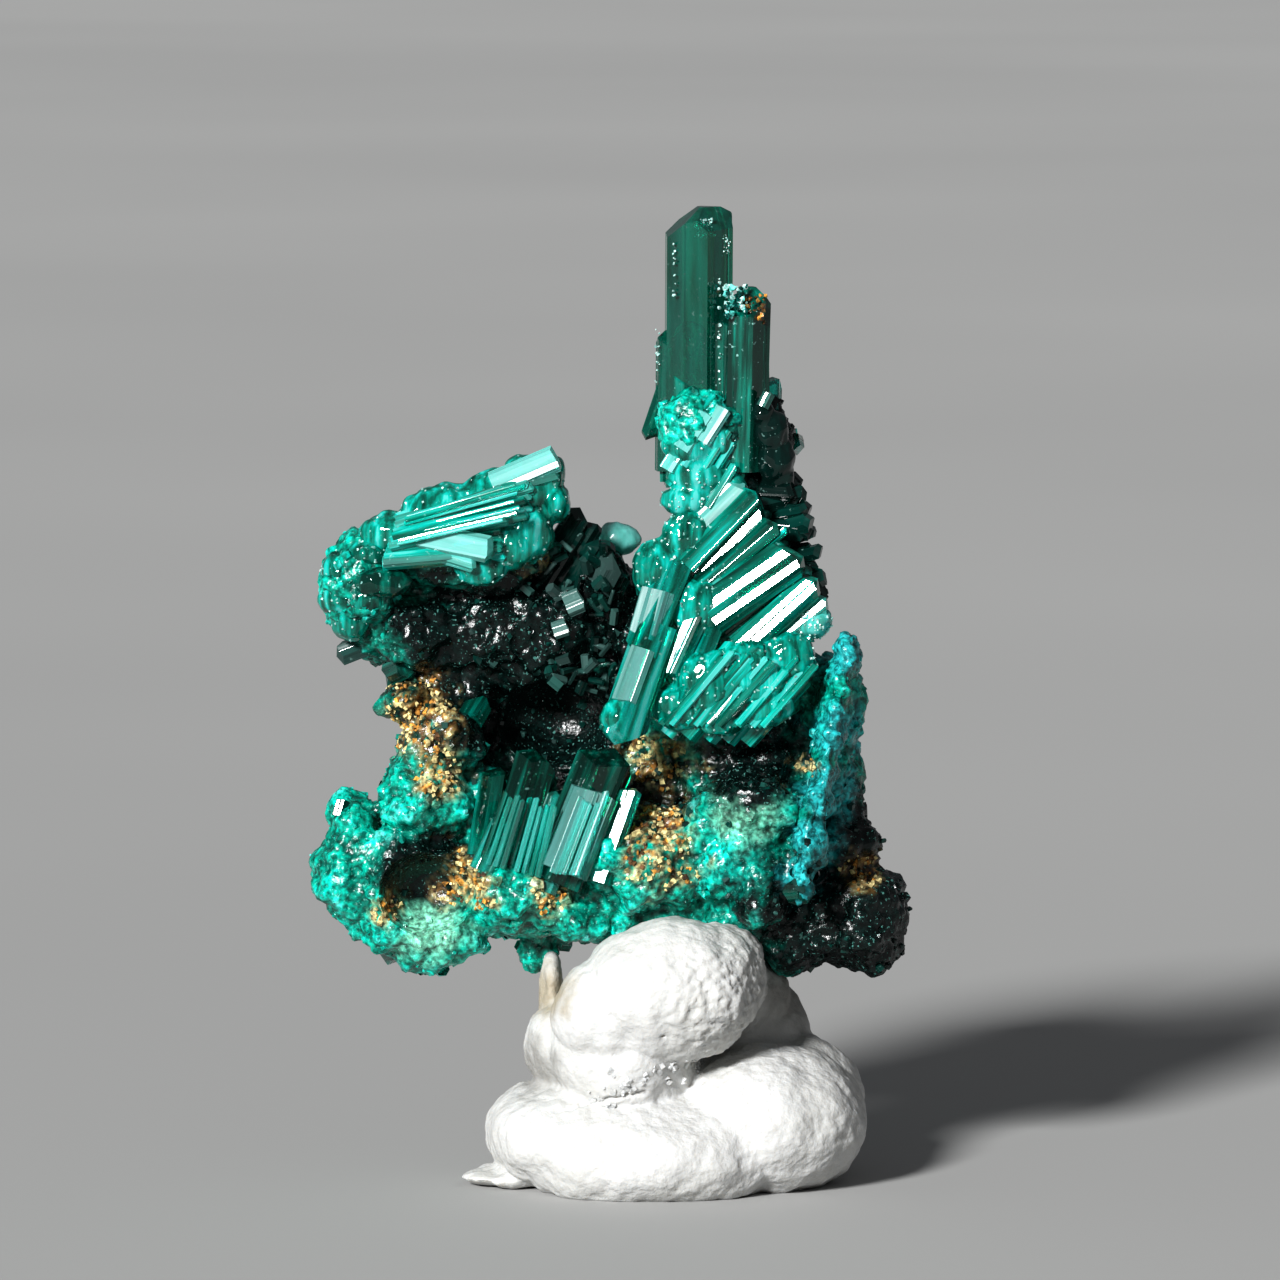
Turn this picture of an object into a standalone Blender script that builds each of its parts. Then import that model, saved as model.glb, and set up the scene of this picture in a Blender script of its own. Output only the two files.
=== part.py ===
"""Dioptase cluster on its matrix, held upright in a lump of white mounting putty.

The model is made in millimetres and turned into metres at the end. +X is to the right of the front
view, +Y away from it, +Z up. The origin lies on the rest surface, under the middle of the whole.
"""

import math
import random
from collections import namedtuple

import bmesh
import bpy
from mathutils import Matrix, Vector, noise

# Driving dimensions, in millimetres
SPIRE_TOP = 38.9  # from the rest surface to the tip of the tall crystal
PUTTY_GAP = 0.3  # clearance between the cluster and the putty pressed round it
METRES = 0.001

# How fine the rounded bodies are: the voxel they are skinned at, and their triangles
MATRIX_VOXEL = 0.5
MATRIX_FACES = 2400
PUTTY_VOXEL = 0.6
PUTTY_FACES = 900

# The front view looks slightly down. Places below are given as they are seen from there.
VIEW_TILT = math.radians(6)

# Dioptase ends in a rhombohedron whose faces stand 51 degrees off the long axis.
POINT_RISE = math.tan(math.radians(51))
SPIRE_RISE = 0.85
LEAST_PRISM = 0.3  # share of a crystal's length that is prism at the least

Lump = namedtuple("Lump", "right up back radii")
Crystal = namedtuple("Crystal", "root tip radius turn flat rise", defaults=(0.0, 1.0, POINT_RISE))
Fan = namedtuple("Fan", "roots tips count radius turn flat")
Crust = namedtuple("Crust", "right up facing count radii lengths")

# Matrix: rounded masses as (right, up, back) and their radii (across, deep, high)
MATRIX = [
    Lump(-8.4, 11.9, -0.4, (3.0, 3.2, 2.7)),  # lower left mass
    Lump(-10.4, 12.4, -1.0, (1.6, 1.9, 2.2)),
    Lump(-10.5, 14.4, -0.6, (1.1, 1.4, 1.0)),
    Lump(-7.5, 10.2, -1.4, (2.5, 2.0, 1.5)),
    Lump(-7.6, 15.3, -0.8, (1.9, 2.1, 2.0)),  # left column
    Lump(-6.9, 17.6, -0.6, (1.7, 1.8, 1.6)),
    Lump(-8.5, 19.2, -0.5, (1.0, 1.0, 0.8)),
    Lump(-5.4, 14.8, 0.8, (1.7, 2.2, 2.4)),
    Lump(-3.8, 12.0, -0.4, (3.2, 3.2, 2.2)),  # lower band
    Lump(1.0, 12.8, -0.8, (3.2, 3.2, 2.2)),
    Lump(5.2, 13.6, -0.8, (2.8, 3.0, 2.8)),
    Lump(5.4, 14.9, -2.6, (2.0, 1.5, 1.2)),
    Lump(5.8, 12.0, -2.2, (1.3, 1.6, 1.9)),
    Lump(-3.0, 9.2, 0.2, (0.8, 0.8, 1.0)),
    Lump(9.6, 10.6, 0.6, (2.3, 2.6, 2.2)),  # lower right mass
    Lump(9.2, 13.4, 1.0, (1.4, 2.0, 1.8)),
    Lump(7.2, 10.2, 0.6, (2.4, 2.4, 1.8)),
    Lump(8.8, 16.4, 0.9, (1.1, 1.9, 2.4)),  # right edge
    Lump(8.8, 19.2, 0.6, (1.2, 1.9, 2.0)),
    Lump(5.0, 17.0, 1.6, (3.8, 1.8, 3.0)),
    Lump(4.5, 21.0, 0.4, (3.6, 2.5, 3.2)),  # core of the right-hand fans
    Lump(5.2, 24.2, 0.4, (2.4, 2.1, 2.6)),
    Lump(2.6, 23.8, -0.4, (1.5, 1.5, 1.6)),
    Lump(4.6, 27.0, 0.4, (2.0, 1.8, 2.2)),
    Lump(4.3, 29.4, 0.3, (1.6, 1.5, 1.8)),
    Lump(6.3, 29.7, 0.6, (0.8, 1.2, 1.5)),
    Lump(3.4, 30.2, -0.9, (1.6, 1.1, 1.4)),  # foot of the spire
    Lump(-2.0, 17.8, 2.6, (5.0, 2.0, 4.6)),  # back of the dark hollow
    Lump(1.4, 15.6, 2.2, (3.0, 1.8, 2.4)),
    Lump(-4.3, 22.0, 1.2, (5.0, 2.6, 2.3)),
    Lump(-0.7, 24.0, 1.4, (1.9, 2.0, 2.4)),
    Lump(-8.3, 22.2, 0.4, (2.4, 2.2, 1.8)),
    Lump(-6.3, 25.2, -0.2, (4.0, 2.4, 1.7)),  # core of the upper left fan
    Lump(-10.2, 24.0, -0.9, (1.6, 1.9, 1.9)),
    Lump(-6.6, 20.0, 1.4, (2.2, 1.8, 1.9)),
    Lump(1.6, 20.6, 1.4, (2.6, 2.0, 3.0)),
]
MATRIX_DEPTH, MATRIX_BUMP = 0.45, 1.3
ROUGHNESS = (0.8, 2.1, 3)  # the noise's fall-off, its step in scale, and its octaves

# The thin wall down the right edge, from its top to its foot
WALL_TOP, WALL_FOOT = (9.3, 21.0, -0.9), (7.4, 12.0, -2.2)
WALL_LUMPS = 7
WALL_RADII = (0.65, 1.4, 1.1)

# Hollows in the front of the matrix
HOLLOWS = [
    Lump(-7.3, 12.4, -4.1, (1.7, 1.5, 0.9)),
    Lump(5.6, 16.6, -3.3, (1.7, 1.8, 0.8)),
]

# Single crystals
CRYSTALS = [
    Crystal((3.35, 27.8, 0.3), (3.4, SPIRE_TOP, 0.3), 1.45, 66, 1.0, SPIRE_RISE),
    Crystal((2.75, 28.0, 0.2), (2.6, 34.2, 0.3), 0.95, 20),
    Crystal((5.1, 28.4, -0.5), (5.3, 35.9, -0.5), 1.0, 10),
    Crystal((5.5, 28.4, 0.3), (5.45, 34.9, 0.3), 0.75, 30),
    Crystal((2.3, 32.4, 0.0), (1.35, 29.6, 0.1), 0.4, 0),
    Crystal((2.1, 23.6, -1.4), (0.15, 17.4, -3.6), 1.05, 12),  # green tip over the hollow
    Crystal((3.3, 22.8, -1.6), (2.1, 18.6, -3.4), 0.75, 12),
    Crystal((-2.1, 11.6, -2.2), (-0.2, 17.5, -3.2), 1.25, 8),  # lower middle
    Crystal((-0.6, 11.8, -2.9), (0.5, 15.9, -3.5), 0.7, 20),
    Crystal((-4.4, 12.6, -2.0), (-3.1, 17.3, -2.6), 1.0, 14),
    Crystal((-5.3, 13.2, -1.8), (-4.8, 16.6, -2.4), 0.55, 0),
    Crystal((-3.4, 12.0, -2.4), (-2.3, 16.4, -3.0), 0.7, 18),
    Crystal((-8.8, 21.9, -0.6), (-11.2, 20.9, -1.5), 0.5, 20),  # left splinter
    Crystal((-0.4, 23.6, 2.6), (0.1, 26.3, 3.4), 0.9, 10),  # pale one behind the notch
]

# Rows of crystals side by side: a line of roots and a line of tips
FANS = [
    Fan(  # long blades of the right-hand fan
        roots=((2.3, 24.5, -1.4), (4.5, 20.2, -1.8)),
        tips=((5.2, 27.8, -1.5), (7.9, 23.0, -1.6)),
        count=8, radius=0.75, turn=25, flat=0.8,
    ),
    Fan(  # blades low in the right-hand fan
        roots=((1.4, 17.8, -2.2), (5.9, 17.6, -1.8)),
        tips=((4.4, 21.4, -2.9), (8.0, 20.4, -2.1)),
        count=6, radius=0.85, turn=25, flat=0.9,
    ),
    Fan(  # top of the upper left fan
        roots=((-8.8, 26.0, -1.0), (-8.6, 24.6, -2.2)),
        tips=((-1.8, 29.2, -1.2), (-2.2, 26.5, -2.8)),
        count=7, radius=0.8, turn=10, flat=1.0,
    ),
    Fan(  # underside of the upper left fan
        roots=((-9.4, 25.0, -1.8), (-9.4, 23.4, -2.0)),
        tips=((-3.2, 25.4, -3.2), (-5.6, 23.6, -3.9)),
        count=5, radius=0.8, turn=10, flat=1.0,
    ),
    Fan(  # left end of the upper left fan
        roots=((-9.2, 24.6, -0.6), (-9.6, 22.8, -0.8)),
        tips=((-11.7, 25.0, -1.8), (-11.3, 22.2, -1.6)),
        count=5, radius=0.75, turn=0, flat=1.0,
    ),
    Fan(  # short crystals at the foot of the spire
        roots=((2.9, 29.0, -1.2), (4.0, 28.6, -1.2)),
        tips=((2.6, 31.2, -2.2), (4.6, 31.2, -1.8)),
        count=4, radius=0.6, turn=15, flat=1.0,
    ),
    Fan(  # dark crystals down the right edge
        roots=((5.4, 27.6, 0.4), (6.4, 23.4, 0.4)),
        tips=((7.5, 28.2, 0.2), (8.6, 23.2, 0.2)),
        count=7, radius=0.55, turn=0, flat=1.0,
    ),
    Fan(  # dark ridge beside the foot of the spire
        roots=((6.2, 29.0, 0.6), (6.0, 28.0, 0.8)),
        tips=((6.9, 31.4, 0.4), (7.2, 29.2, 0.8)),
        count=3, radius=0.5, turn=0, flat=1.0,
    ),
    Fan(  # black crystals in the notch
        roots=((-3.6, 23.6, 0.6), (-0.4, 22.8, 0.4)),
        tips=((-1.4, 27.0, -0.2), (0.5, 24.6, -0.2)),
        count=5, radius=0.6, turn=20, flat=1.0,
    ),
]
FAN_LENGTHS = (0.9, 1.04)
FAN_WIDTHS = (0.85, 1.15)
FAN_SHIFT = 0.35
FAN_ROLL = 5

# Crusts: crystals standing out of the matrix within a range, on the faces that look to one side
FRONT, BACK = Vector((0, -1, 0)), Vector((0, 1, 0))
CRUSTS = [
    Crust((-9.0, 0.5), (19.8, 24.0), FRONT, 14, (0.45, 0.8), (0.7, 1.6)),  # black, over the hollow
    Crust((-12.0, 8.0), (11.0, 30.0), BACK, 30, (0.5, 1.0), (0.7, 1.8)),
    Crust((-13.0, 13.0), (8.0, 30.0), FRONT, 34, (0.3, 0.5), (0.3, 0.65)),
    Crust((-13.0, 13.0), (8.0, 30.0), BACK, 24, (0.3, 0.5), (0.3, 0.65)),
]
CRUST_SUNK = 0.6
CRUST_LEAN = 0.4
CRUST_LOWEST = -0.5  # faces that look further down than this stay bare
SEED = 2

# Putty: a rolled lump pressed down into a ring that curls up at the right
PUTTY = [
    Lump(2.3, 7.7, -3.3, (3.6, 3.4, 2.9)),  # rolled end in front
    Lump(4.3, 8.2, -2.6, (1.8, 3.0, 2.2)),
    Lump(0.4, 5.2, -1.2, (3.2, 4.2, 3.2)),  # neck under the cluster
    Lump(3.9, 7.4, 1.2, (3.2, 2.8, 2.6)),
    Lump(4.6, 5.4, 2.4, (3.4, 3.4, 3.2)),
    Lump(-1.6, 2.3, -0.6, (3.8, 5.4, 2.8)),  # ring
    Lump(1.6, 1.2, -2.6, (5.6, 4.4, 2.7)),
    Lump(6.0, 2.4, -1.2, (4.2, 4.6, 3.1)),
    Lump(7.0, 3.2, 1.4, (3.0, 3.6, 2.7)),
    Lump(1.4, 2.0, 3.2, (4.6, 4.0, 2.9)),
]
PUTTY_DEPTH, PUTTY_BUMP = 0.2, 2.5


def seen(right, up, back):
    """The point that the front view shows this far right and up, at this depth."""
    return Vector((right, back, up / math.cos(VIEW_TILT) - back * math.tan(VIEW_TILT)))


def between(line, share):
    start, end = line
    return Vector(start).lerp(Vector(end), share)


def new_object(name, mesh):
    obj = bpy.data.objects.new(name, mesh)
    bpy.context.scene.collection.objects.link(obj)
    return obj


def object_of(name, bm):
    mesh = bpy.data.meshes.new(name)
    bm.to_mesh(mesh)
    bm.free()
    return new_object(name, mesh)


def bake(obj):
    """Turns the object's modifiers into its mesh."""
    bpy.context.view_layer.update()
    graph = bpy.context.evaluated_depsgraph_get()
    mesh = bpy.data.meshes.new_from_object(obj.evaluated_get(graph))
    obj.modifiers.clear()
    obj.data = mesh


def combine(obj, operation, others, solver="EXACT"):
    """Joins or cuts the object by others, which are then removed."""
    tools = bpy.data.collections.new(operation)
    bpy.context.scene.collection.children.link(tools)
    for other in others:
        tools.objects.link(other)
    boolean = obj.modifiers.new(operation, "BOOLEAN")
    boolean.operation = operation
    boolean.solver = solver
    boolean.operand_type = "COLLECTION"
    boolean.collection = tools
    bake(obj)
    for other in others:
        bpy.data.objects.remove(other)
    bpy.data.collections.remove(tools)


def keep_outer_shell(obj):
    """Removes every loose shell but the largest, such as a cavity shut in by a union."""
    bm = bmesh.new()
    bm.from_mesh(obj.data)
    shells, waiting = [], set(bm.faces)
    while waiting:
        shell, edge = [], [waiting.pop()]
        while edge:
            face = edge.pop()
            shell.append(face)
            near = {other for side in face.edges for other in side.link_faces} & waiting
            waiting -= near
            edge.extend(near)
        shells.append(shell)
    largest = max(shells, key=len)
    loose = [face for shell in shells if shell is not largest for face in shell]
    bmesh.ops.delete(bm, geom=loose, context="FACES")
    bm.to_mesh(obj.data)
    bm.free()


def lump_body(name, lumps, grow, voxel):
    """One smooth closed body round all the lumps, each made larger by grow."""
    bm = bmesh.new()
    for lump in lumps:
        size = Matrix.Diagonal([radius + grow for radius in lump.radii]).to_4x4()
        place = Matrix.Translation(seen(lump.right, lump.up, lump.back)) @ size
        bmesh.ops.create_icosphere(bm, subdivisions=3, radius=1, matrix=place)
    body = object_of(name, bm)
    remesh = body.modifiers.new("skin", "REMESH")
    remesh.mode = "VOXEL"
    remesh.voxel_size = voxel
    bake(body)
    keep_outer_shell(body)
    return body


def roughen(body, depth, scale):
    """Moves the surface in and out by seeded noise, in bumps about scale across."""
    body.data.update()
    for vertex in body.data.vertices:
        swell = noise.fractal(vertex.co / scale, *ROUGHNESS)
        vertex.co += vertex.normal * (depth * swell)
    body.data.update()


def thin_out(body, faces):
    """Brings the body down to about this many triangles."""
    body.data.update()
    triangles = sum(len(polygon.vertices) - 2 for polygon in body.data.polygons)
    decimate = body.modifiers.new("fewer faces", "DECIMATE")
    decimate.ratio = min(1.0, faces / triangles)
    bake(body)


def crystal_object(crystal):
    """A six-sided prism with the blunt three-faced point of dioptase."""
    root, tip = Vector(crystal.root), Vector(crystal.tip)
    axis = tip - root
    length = axis.length
    radius = crystal.radius
    turn = math.radians(crystal.turn)
    low = max(LEAST_PRISM * length, length - crystal.rise * radius)
    high = (length + low) / 2
    bm = bmesh.new()
    foot, shoulder = [], []
    for corner in range(6):
        angle = corner * math.pi / 3
        across, deep = radius * math.cos(angle), radius * math.sin(angle) * crystal.flat
        foot.append(bm.verts.new((across, deep, 0)))
        shoulder.append(bm.verts.new((across, deep, low if corner % 2 else high)))
    apex = bm.verts.new((0, 0, length))
    bm.faces.new(reversed(foot))
    for corner in range(6):
        after = (corner + 1) % 6
        bm.faces.new((foot[corner], foot[after], shoulder[after], shoulder[corner]))
    for corner in (1, 3, 5):
        bm.faces.new((shoulder[corner - 1], shoulder[corner], shoulder[(corner + 1) % 6], apex))
    facing = axis.to_track_quat("Z", "Y").to_matrix().to_4x4()
    place = Matrix.Translation(root) @ facing @ Matrix.Rotation(turn, 4, "Z")
    bm.transform(place)
    return object_of("crystal", bm)


def placed(crystal):
    """The crystal with its places turned from the front view into the model's frame."""
    return crystal._replace(root=seen(*crystal.root), tip=seen(*crystal.tip))


def fan_crystals(fan, dice):
    """The crystals of one fan, with small differences in length and depth."""
    for number in range(fan.count):
        share = (number + 0.5) / fan.count
        root = seen(*between(fan.roots, share))
        tip = seen(*between(fan.tips, share))
        shift = Vector((0, dice.uniform(-FAN_SHIFT, FAN_SHIFT), 0))
        tip = root.lerp(tip, dice.uniform(*FAN_LENGTHS)) + shift
        radius = fan.radius * dice.uniform(*FAN_WIDTHS)
        turn = fan.turn + dice.uniform(-FAN_ROLL, FAN_ROLL)
        yield Crystal(root + shift, tip, radius, turn, fan.flat)


def crust_crystals(crust, body, dice):
    """Crystals that stand out from the body's faces."""
    body.data.update()
    low = seen(crust.right[0], crust.up[0], 0)
    high = seen(crust.right[1], crust.up[1], 0)
    faces = [
        face for face in body.data.polygons
        if low.x < face.center.x < high.x
        and low.z < face.center.z < high.z
        and face.normal.dot(crust.facing) > 0
        and face.normal.z > CRUST_LOWEST
    ]
    for face in dice.choices(faces, weights=[face.area for face in faces], k=crust.count):
        lean = Vector([dice.uniform(-CRUST_LEAN, CRUST_LEAN) for _ in range(3)])
        out = (face.normal + lean).normalized()
        root = face.center - out * CRUST_SUNK
        tip = face.center + out * dice.uniform(*crust.lengths)
        yield Crystal(root, tip, dice.uniform(*crust.radii), dice.uniform(0, 60))


def all_matrix_lumps():
    steps = [number / (WALL_LUMPS - 1) for number in range(WALL_LUMPS)]
    wall = [Lump(*between((WALL_TOP, WALL_FOOT), step), WALL_RADII) for step in steps]
    return MATRIX + wall


def material(name, colour, roughness):
    made = bpy.data.materials.new(name)
    made.use_nodes = True
    shader = made.node_tree.nodes["Principled BSDF"]
    shader.inputs["Base Color"].default_value = (*colour, 1)
    shader.inputs["Roughness"].default_value = roughness
    shader.inputs["Metallic"].default_value = 0.0
    return made


def finish(obj, made):
    """Gives the object its material and its real size in metres."""
    obj.data.materials.clear()
    obj.data.materials.append(made)
    obj.data.transform(Matrix.Scale(METRES, 4))
    obj.data.update()


def build_cluster():
    dice = random.Random(SEED)
    cluster = lump_body("dioptase_cluster", all_matrix_lumps(), 0.0, MATRIX_VOXEL)
    roughen(cluster, MATRIX_DEPTH, MATRIX_BUMP)
    thin_out(cluster, MATRIX_FACES)
    hollows = [lump_body("hollow", [hollow], 0.0, MATRIX_VOXEL) for hollow in HOLLOWS]
    combine(cluster, "DIFFERENCE", hollows)
    crystals = [placed(crystal) for crystal in CRYSTALS]
    for fan in FANS:
        crystals.extend(fan_crystals(fan, dice))
    for crust in CRUSTS:
        crystals.extend(crust_crystals(crust, cluster, dice))
    # Between so many overlapping crystals the exact solver leaves loose slivers
    combine(cluster, "UNION", [crystal_object(crystal) for crystal in crystals], "MANIFOLD")
    keep_outer_shell(cluster)
    finish(cluster, material("dioptase", (0.0, 0.30, 0.22), 0.15))


def ground_block():
    """The space below the rest surface."""
    side, depth = 60, 20
    bm = bmesh.new()
    bmesh.ops.create_cube(bm, size=1)
    bm.transform(Matrix.Translation((0, 0, -depth / 2)) @ Matrix.Diagonal((side, side, depth, 1)))
    return object_of("ground", bm)


def build_putty():
    putty = lump_body("mounting_putty", PUTTY, 0.0, PUTTY_VOXEL)
    roughen(putty, PUTTY_DEPTH, PUTTY_BUMP)
    thin_out(putty, PUTTY_FACES)
    imprint = lump_body("imprint", all_matrix_lumps(), PUTTY_GAP, MATRIX_VOXEL)
    combine(putty, "DIFFERENCE", [ground_block(), imprint])
    finish(putty, material("putty", (0.85, 0.85, 0.83), 0.8))


def main():
    for obj in list(bpy.data.objects):
        bpy.data.objects.remove(obj)
    build_cluster()
    build_putty()


main()
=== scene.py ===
"""Looks of the dioptase specimen: clear and silky green crystals, drusy matrix, white putty.

Shapes are made in millimetres, in the frame of the solids, and turned into metres at the end.
+X is to the right of the front view, +Y away from it, +Z up.
"""

import math
import random
from collections import namedtuple

import bmesh
import bpy
import numpy as np
from mathutils import Matrix, Vector, noise


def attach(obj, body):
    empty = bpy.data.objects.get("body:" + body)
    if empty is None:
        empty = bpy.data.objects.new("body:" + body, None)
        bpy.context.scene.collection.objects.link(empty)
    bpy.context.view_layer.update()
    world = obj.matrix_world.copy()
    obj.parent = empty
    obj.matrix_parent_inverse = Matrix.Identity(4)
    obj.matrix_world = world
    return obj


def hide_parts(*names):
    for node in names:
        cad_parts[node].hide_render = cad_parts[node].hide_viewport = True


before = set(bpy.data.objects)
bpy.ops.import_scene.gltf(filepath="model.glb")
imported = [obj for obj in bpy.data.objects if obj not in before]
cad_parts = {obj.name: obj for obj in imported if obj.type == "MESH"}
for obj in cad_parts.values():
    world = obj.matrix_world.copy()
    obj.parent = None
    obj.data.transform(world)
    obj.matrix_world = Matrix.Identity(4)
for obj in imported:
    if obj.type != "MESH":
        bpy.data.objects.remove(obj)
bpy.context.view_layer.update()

METRES = 0.001
SEED = 7
noise.seed_set(SEED)  # without it noise_vector gives other values in each run

# The front view looks slightly down. Places below are given as they are seen from there.
VIEW_TILT = math.radians(6)
VIEW_FROM = Vector((0, -math.cos(VIEW_TILT), math.sin(VIEW_TILT)))
KEY_FROM = Vector((-0.45, -0.80, 0.42)).normalized()
FLASH = (KEY_FROM + VIEW_FROM).normalized()  # a face that looks this way mirrors the key light

# Dioptase ends in a rhombohedron whose faces stand 51 degrees off the long axis.
POINT_RISE = math.tan(math.radians(51))
SPIRE_RISE = 0.85
LEAST_PRISM = 0.3

Lump = namedtuple("Lump", "right up back radii")
Patch = namedtuple("Patch", "right up reach kind")
Crystal = namedtuple(
    "Crystal", "root tip radius roll flat rise broad bright silk cut",
    defaults=(0.0, 1.0, POINT_RISE, 0.5, 0.5, 0.0, 0.0),
)

SPIRE_TOP = 38.9
SPIRE_CUT = 0.28  # how much of the spire's point its small flat top takes off

MATRIX = [
    Lump(-8.4, 11.9, -0.4, (3.0, 3.2, 2.7)),  # lower left mass
    Lump(-10.4, 12.4, -1.0, (1.6, 1.9, 2.2)),
    Lump(-10.5, 14.4, -0.6, (1.1, 1.4, 1.0)),
    Lump(-7.5, 10.2, -1.4, (2.5, 2.0, 1.5)),
    Lump(-7.6, 15.3, -0.8, (1.9, 2.1, 2.0)),  # left column
    Lump(-6.9, 17.6, -0.6, (1.7, 1.8, 1.6)),
    Lump(-8.5, 19.2, -0.5, (1.0, 1.0, 0.8)),
    Lump(-5.4, 14.8, 0.8, (1.7, 2.2, 2.4)),
    Lump(-3.8, 12.0, -0.4, (3.2, 3.2, 2.2)),  # lower band
    Lump(1.0, 12.8, -0.8, (3.2, 3.2, 2.2)),
    Lump(5.2, 13.6, -0.8, (2.8, 3.0, 2.8)),
    Lump(5.4, 14.9, -2.6, (2.0, 1.5, 1.2)),
    Lump(5.8, 12.0, -2.2, (1.3, 1.6, 1.9)),
    Lump(-3.0, 9.2, 0.2, (0.8, 0.8, 1.0)),
    Lump(9.6, 10.6, 0.6, (2.3, 2.6, 2.2)),  # lower right mass
    Lump(9.2, 13.4, 1.0, (1.4, 2.0, 1.8)),
    Lump(7.2, 10.2, 0.6, (2.4, 2.4, 1.8)),
    Lump(8.8, 16.4, 0.9, (1.1, 1.9, 2.4)),  # right edge
    Lump(8.8, 19.2, 0.6, (1.2, 1.9, 2.0)),
    Lump(5.0, 17.0, 1.6, (3.8, 1.8, 3.0)),
    Lump(4.5, 21.0, 0.4, (3.6, 2.5, 3.2)),  # core of the right-hand fans
    Lump(5.2, 24.2, 0.4, (2.4, 2.1, 2.6)),
    Lump(2.6, 23.8, -0.4, (1.5, 1.5, 1.6)),
    Lump(4.6, 27.0, 0.4, (2.0, 1.8, 2.2)),
    Lump(4.3, 29.4, 0.3, (1.6, 1.5, 1.8)),
    Lump(6.3, 29.7, 0.6, (0.8, 1.2, 1.5)),
    Lump(3.4, 30.2, -0.9, (1.6, 1.1, 1.4)),  # foot of the spire
    Lump(-2.0, 17.8, 2.6, (5.0, 2.0, 4.6)),  # back of the dark hollow
    Lump(1.4, 15.6, 2.2, (3.0, 1.8, 2.4)),
    Lump(-4.3, 22.0, 1.2, (5.0, 2.6, 2.3)),
    Lump(-0.7, 23.5, 1.4, (1.9, 2.0, 1.8)),
    Lump(-8.3, 22.2, 0.4, (2.4, 2.2, 1.8)),
    Lump(-6.3, 25.2, -0.2, (4.0, 2.4, 1.7)),  # core of the upper left fan
    Lump(-10.2, 24.0, -0.9, (1.6, 1.9, 1.9)),
    Lump(-6.6, 20.0, 1.4, (2.2, 1.8, 1.9)),
    Lump(1.6, 20.6, 1.4, (2.6, 2.0, 3.0)),
]

# Matrix that sits down into the putty
SEAT = [
    Lump(1.6, 11.0, 0.2, (3.4, 2.6, 1.6)),
    Lump(-2.2, 10.8, -0.4, (2.6, 2.6, 1.2)),
    Lump(5.4, 10.6, 0.4, (2.6, 2.4, 1.5)),
]

# The thin wall down the right edge, from its top to its foot
WALL_TOP, WALL_FOOT = (9.3, 21.0, -1.5), (7.4, 12.0, -3.6)
WALL_LUMPS = 9
WALL_RADII = (0.5, 1.6, 1.0)

# Hollows in the front of the matrix
HOLLOWS = [
    Lump(-7.3, 11.5, -3.9, (2.1, 2.5, 1.8)),
    Lump(5.6, 16.6, -3.3, (1.9, 1.9, 0.9)),
    Lump(2.2, 15.2, -3.2, (1.2, 1.2, 0.6)),
    Lump(-2.3, 18.2, -0.2, (2.6, 2.8, 1.9)),
    Lump(-0.6, 12.0, -4.2, (1.6, 0.8, 0.5)),
]

PUTTY = [
    Lump(2.3, 7.7, -3.3, (3.6, 3.4, 2.9)),  # rolled end in front
    Lump(4.3, 8.2, -2.6, (1.8, 3.0, 2.2)),
    Lump(0.0, 6.8, -3.0, (2.4, 2.8, 2.3)),
    Lump(-2.5, 7.4, 0.0, (0.5, 1.2, 1.8)),  # flat strip up to the stub of matrix
    Lump(-2.2, 5.2, -0.8, (1.3, 2.2, 2.0)),
    Lump(0.4, 5.2, -1.2, (3.2, 4.2, 3.2)),  # neck under the cluster
    Lump(3.9, 7.4, 1.2, (3.2, 2.8, 2.6)),
    Lump(4.6, 5.4, 2.4, (3.4, 3.4, 3.2)),
    Lump(-1.4, 1.9, -0.8, (3.8, 5.2, 2.4)),  # ring
    Lump(-4.2, 0.2, -1.6, (2.0, 1.8, 0.35)),
    Lump(1.6, 1.2, -2.6, (5.6, 4.4, 2.5)),
    Lump(6.0, 2.4, -1.2, (4.2, 4.6, 3.1)),
    Lump(7.0, 3.2, 1.4, (3.0, 3.6, 2.7)),
    Lump(1.4, 2.0, 3.2, (4.6, 4.0, 2.9)),
]
PITS = [
    Lump(1.96, 5.92, -6.3, (0.13, 0.5, 0.09)),
    Lump(7.9, 4.7, -5.0, (0.10, 0.5, 0.08)),
]
# The thin crack between the rolled end and the ring, from left to right in the front view
CRACK = (Vector((-2.4, 3.0)), Vector((1.2, 3.7)))
CRACK_DEPTH, CRACK_WIDTH = 0.22, 0.09
PUTTY_VOXEL = 0.12
PUTTY_PATCHES = [
    # beige strip, darker partly as painted shade; the grey left edge below is painted shade
    Patch(-2.7, 7.6, 1.3, "beige"),  # strip and shaded left edge
    Patch(-3.2, 4.6, 1.3, "shade_grey"),
    # lobe behind: painted grey shade
    Patch(7.2, 7.4, 1.6, "shade_grey"),  # lobe behind
]
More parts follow.
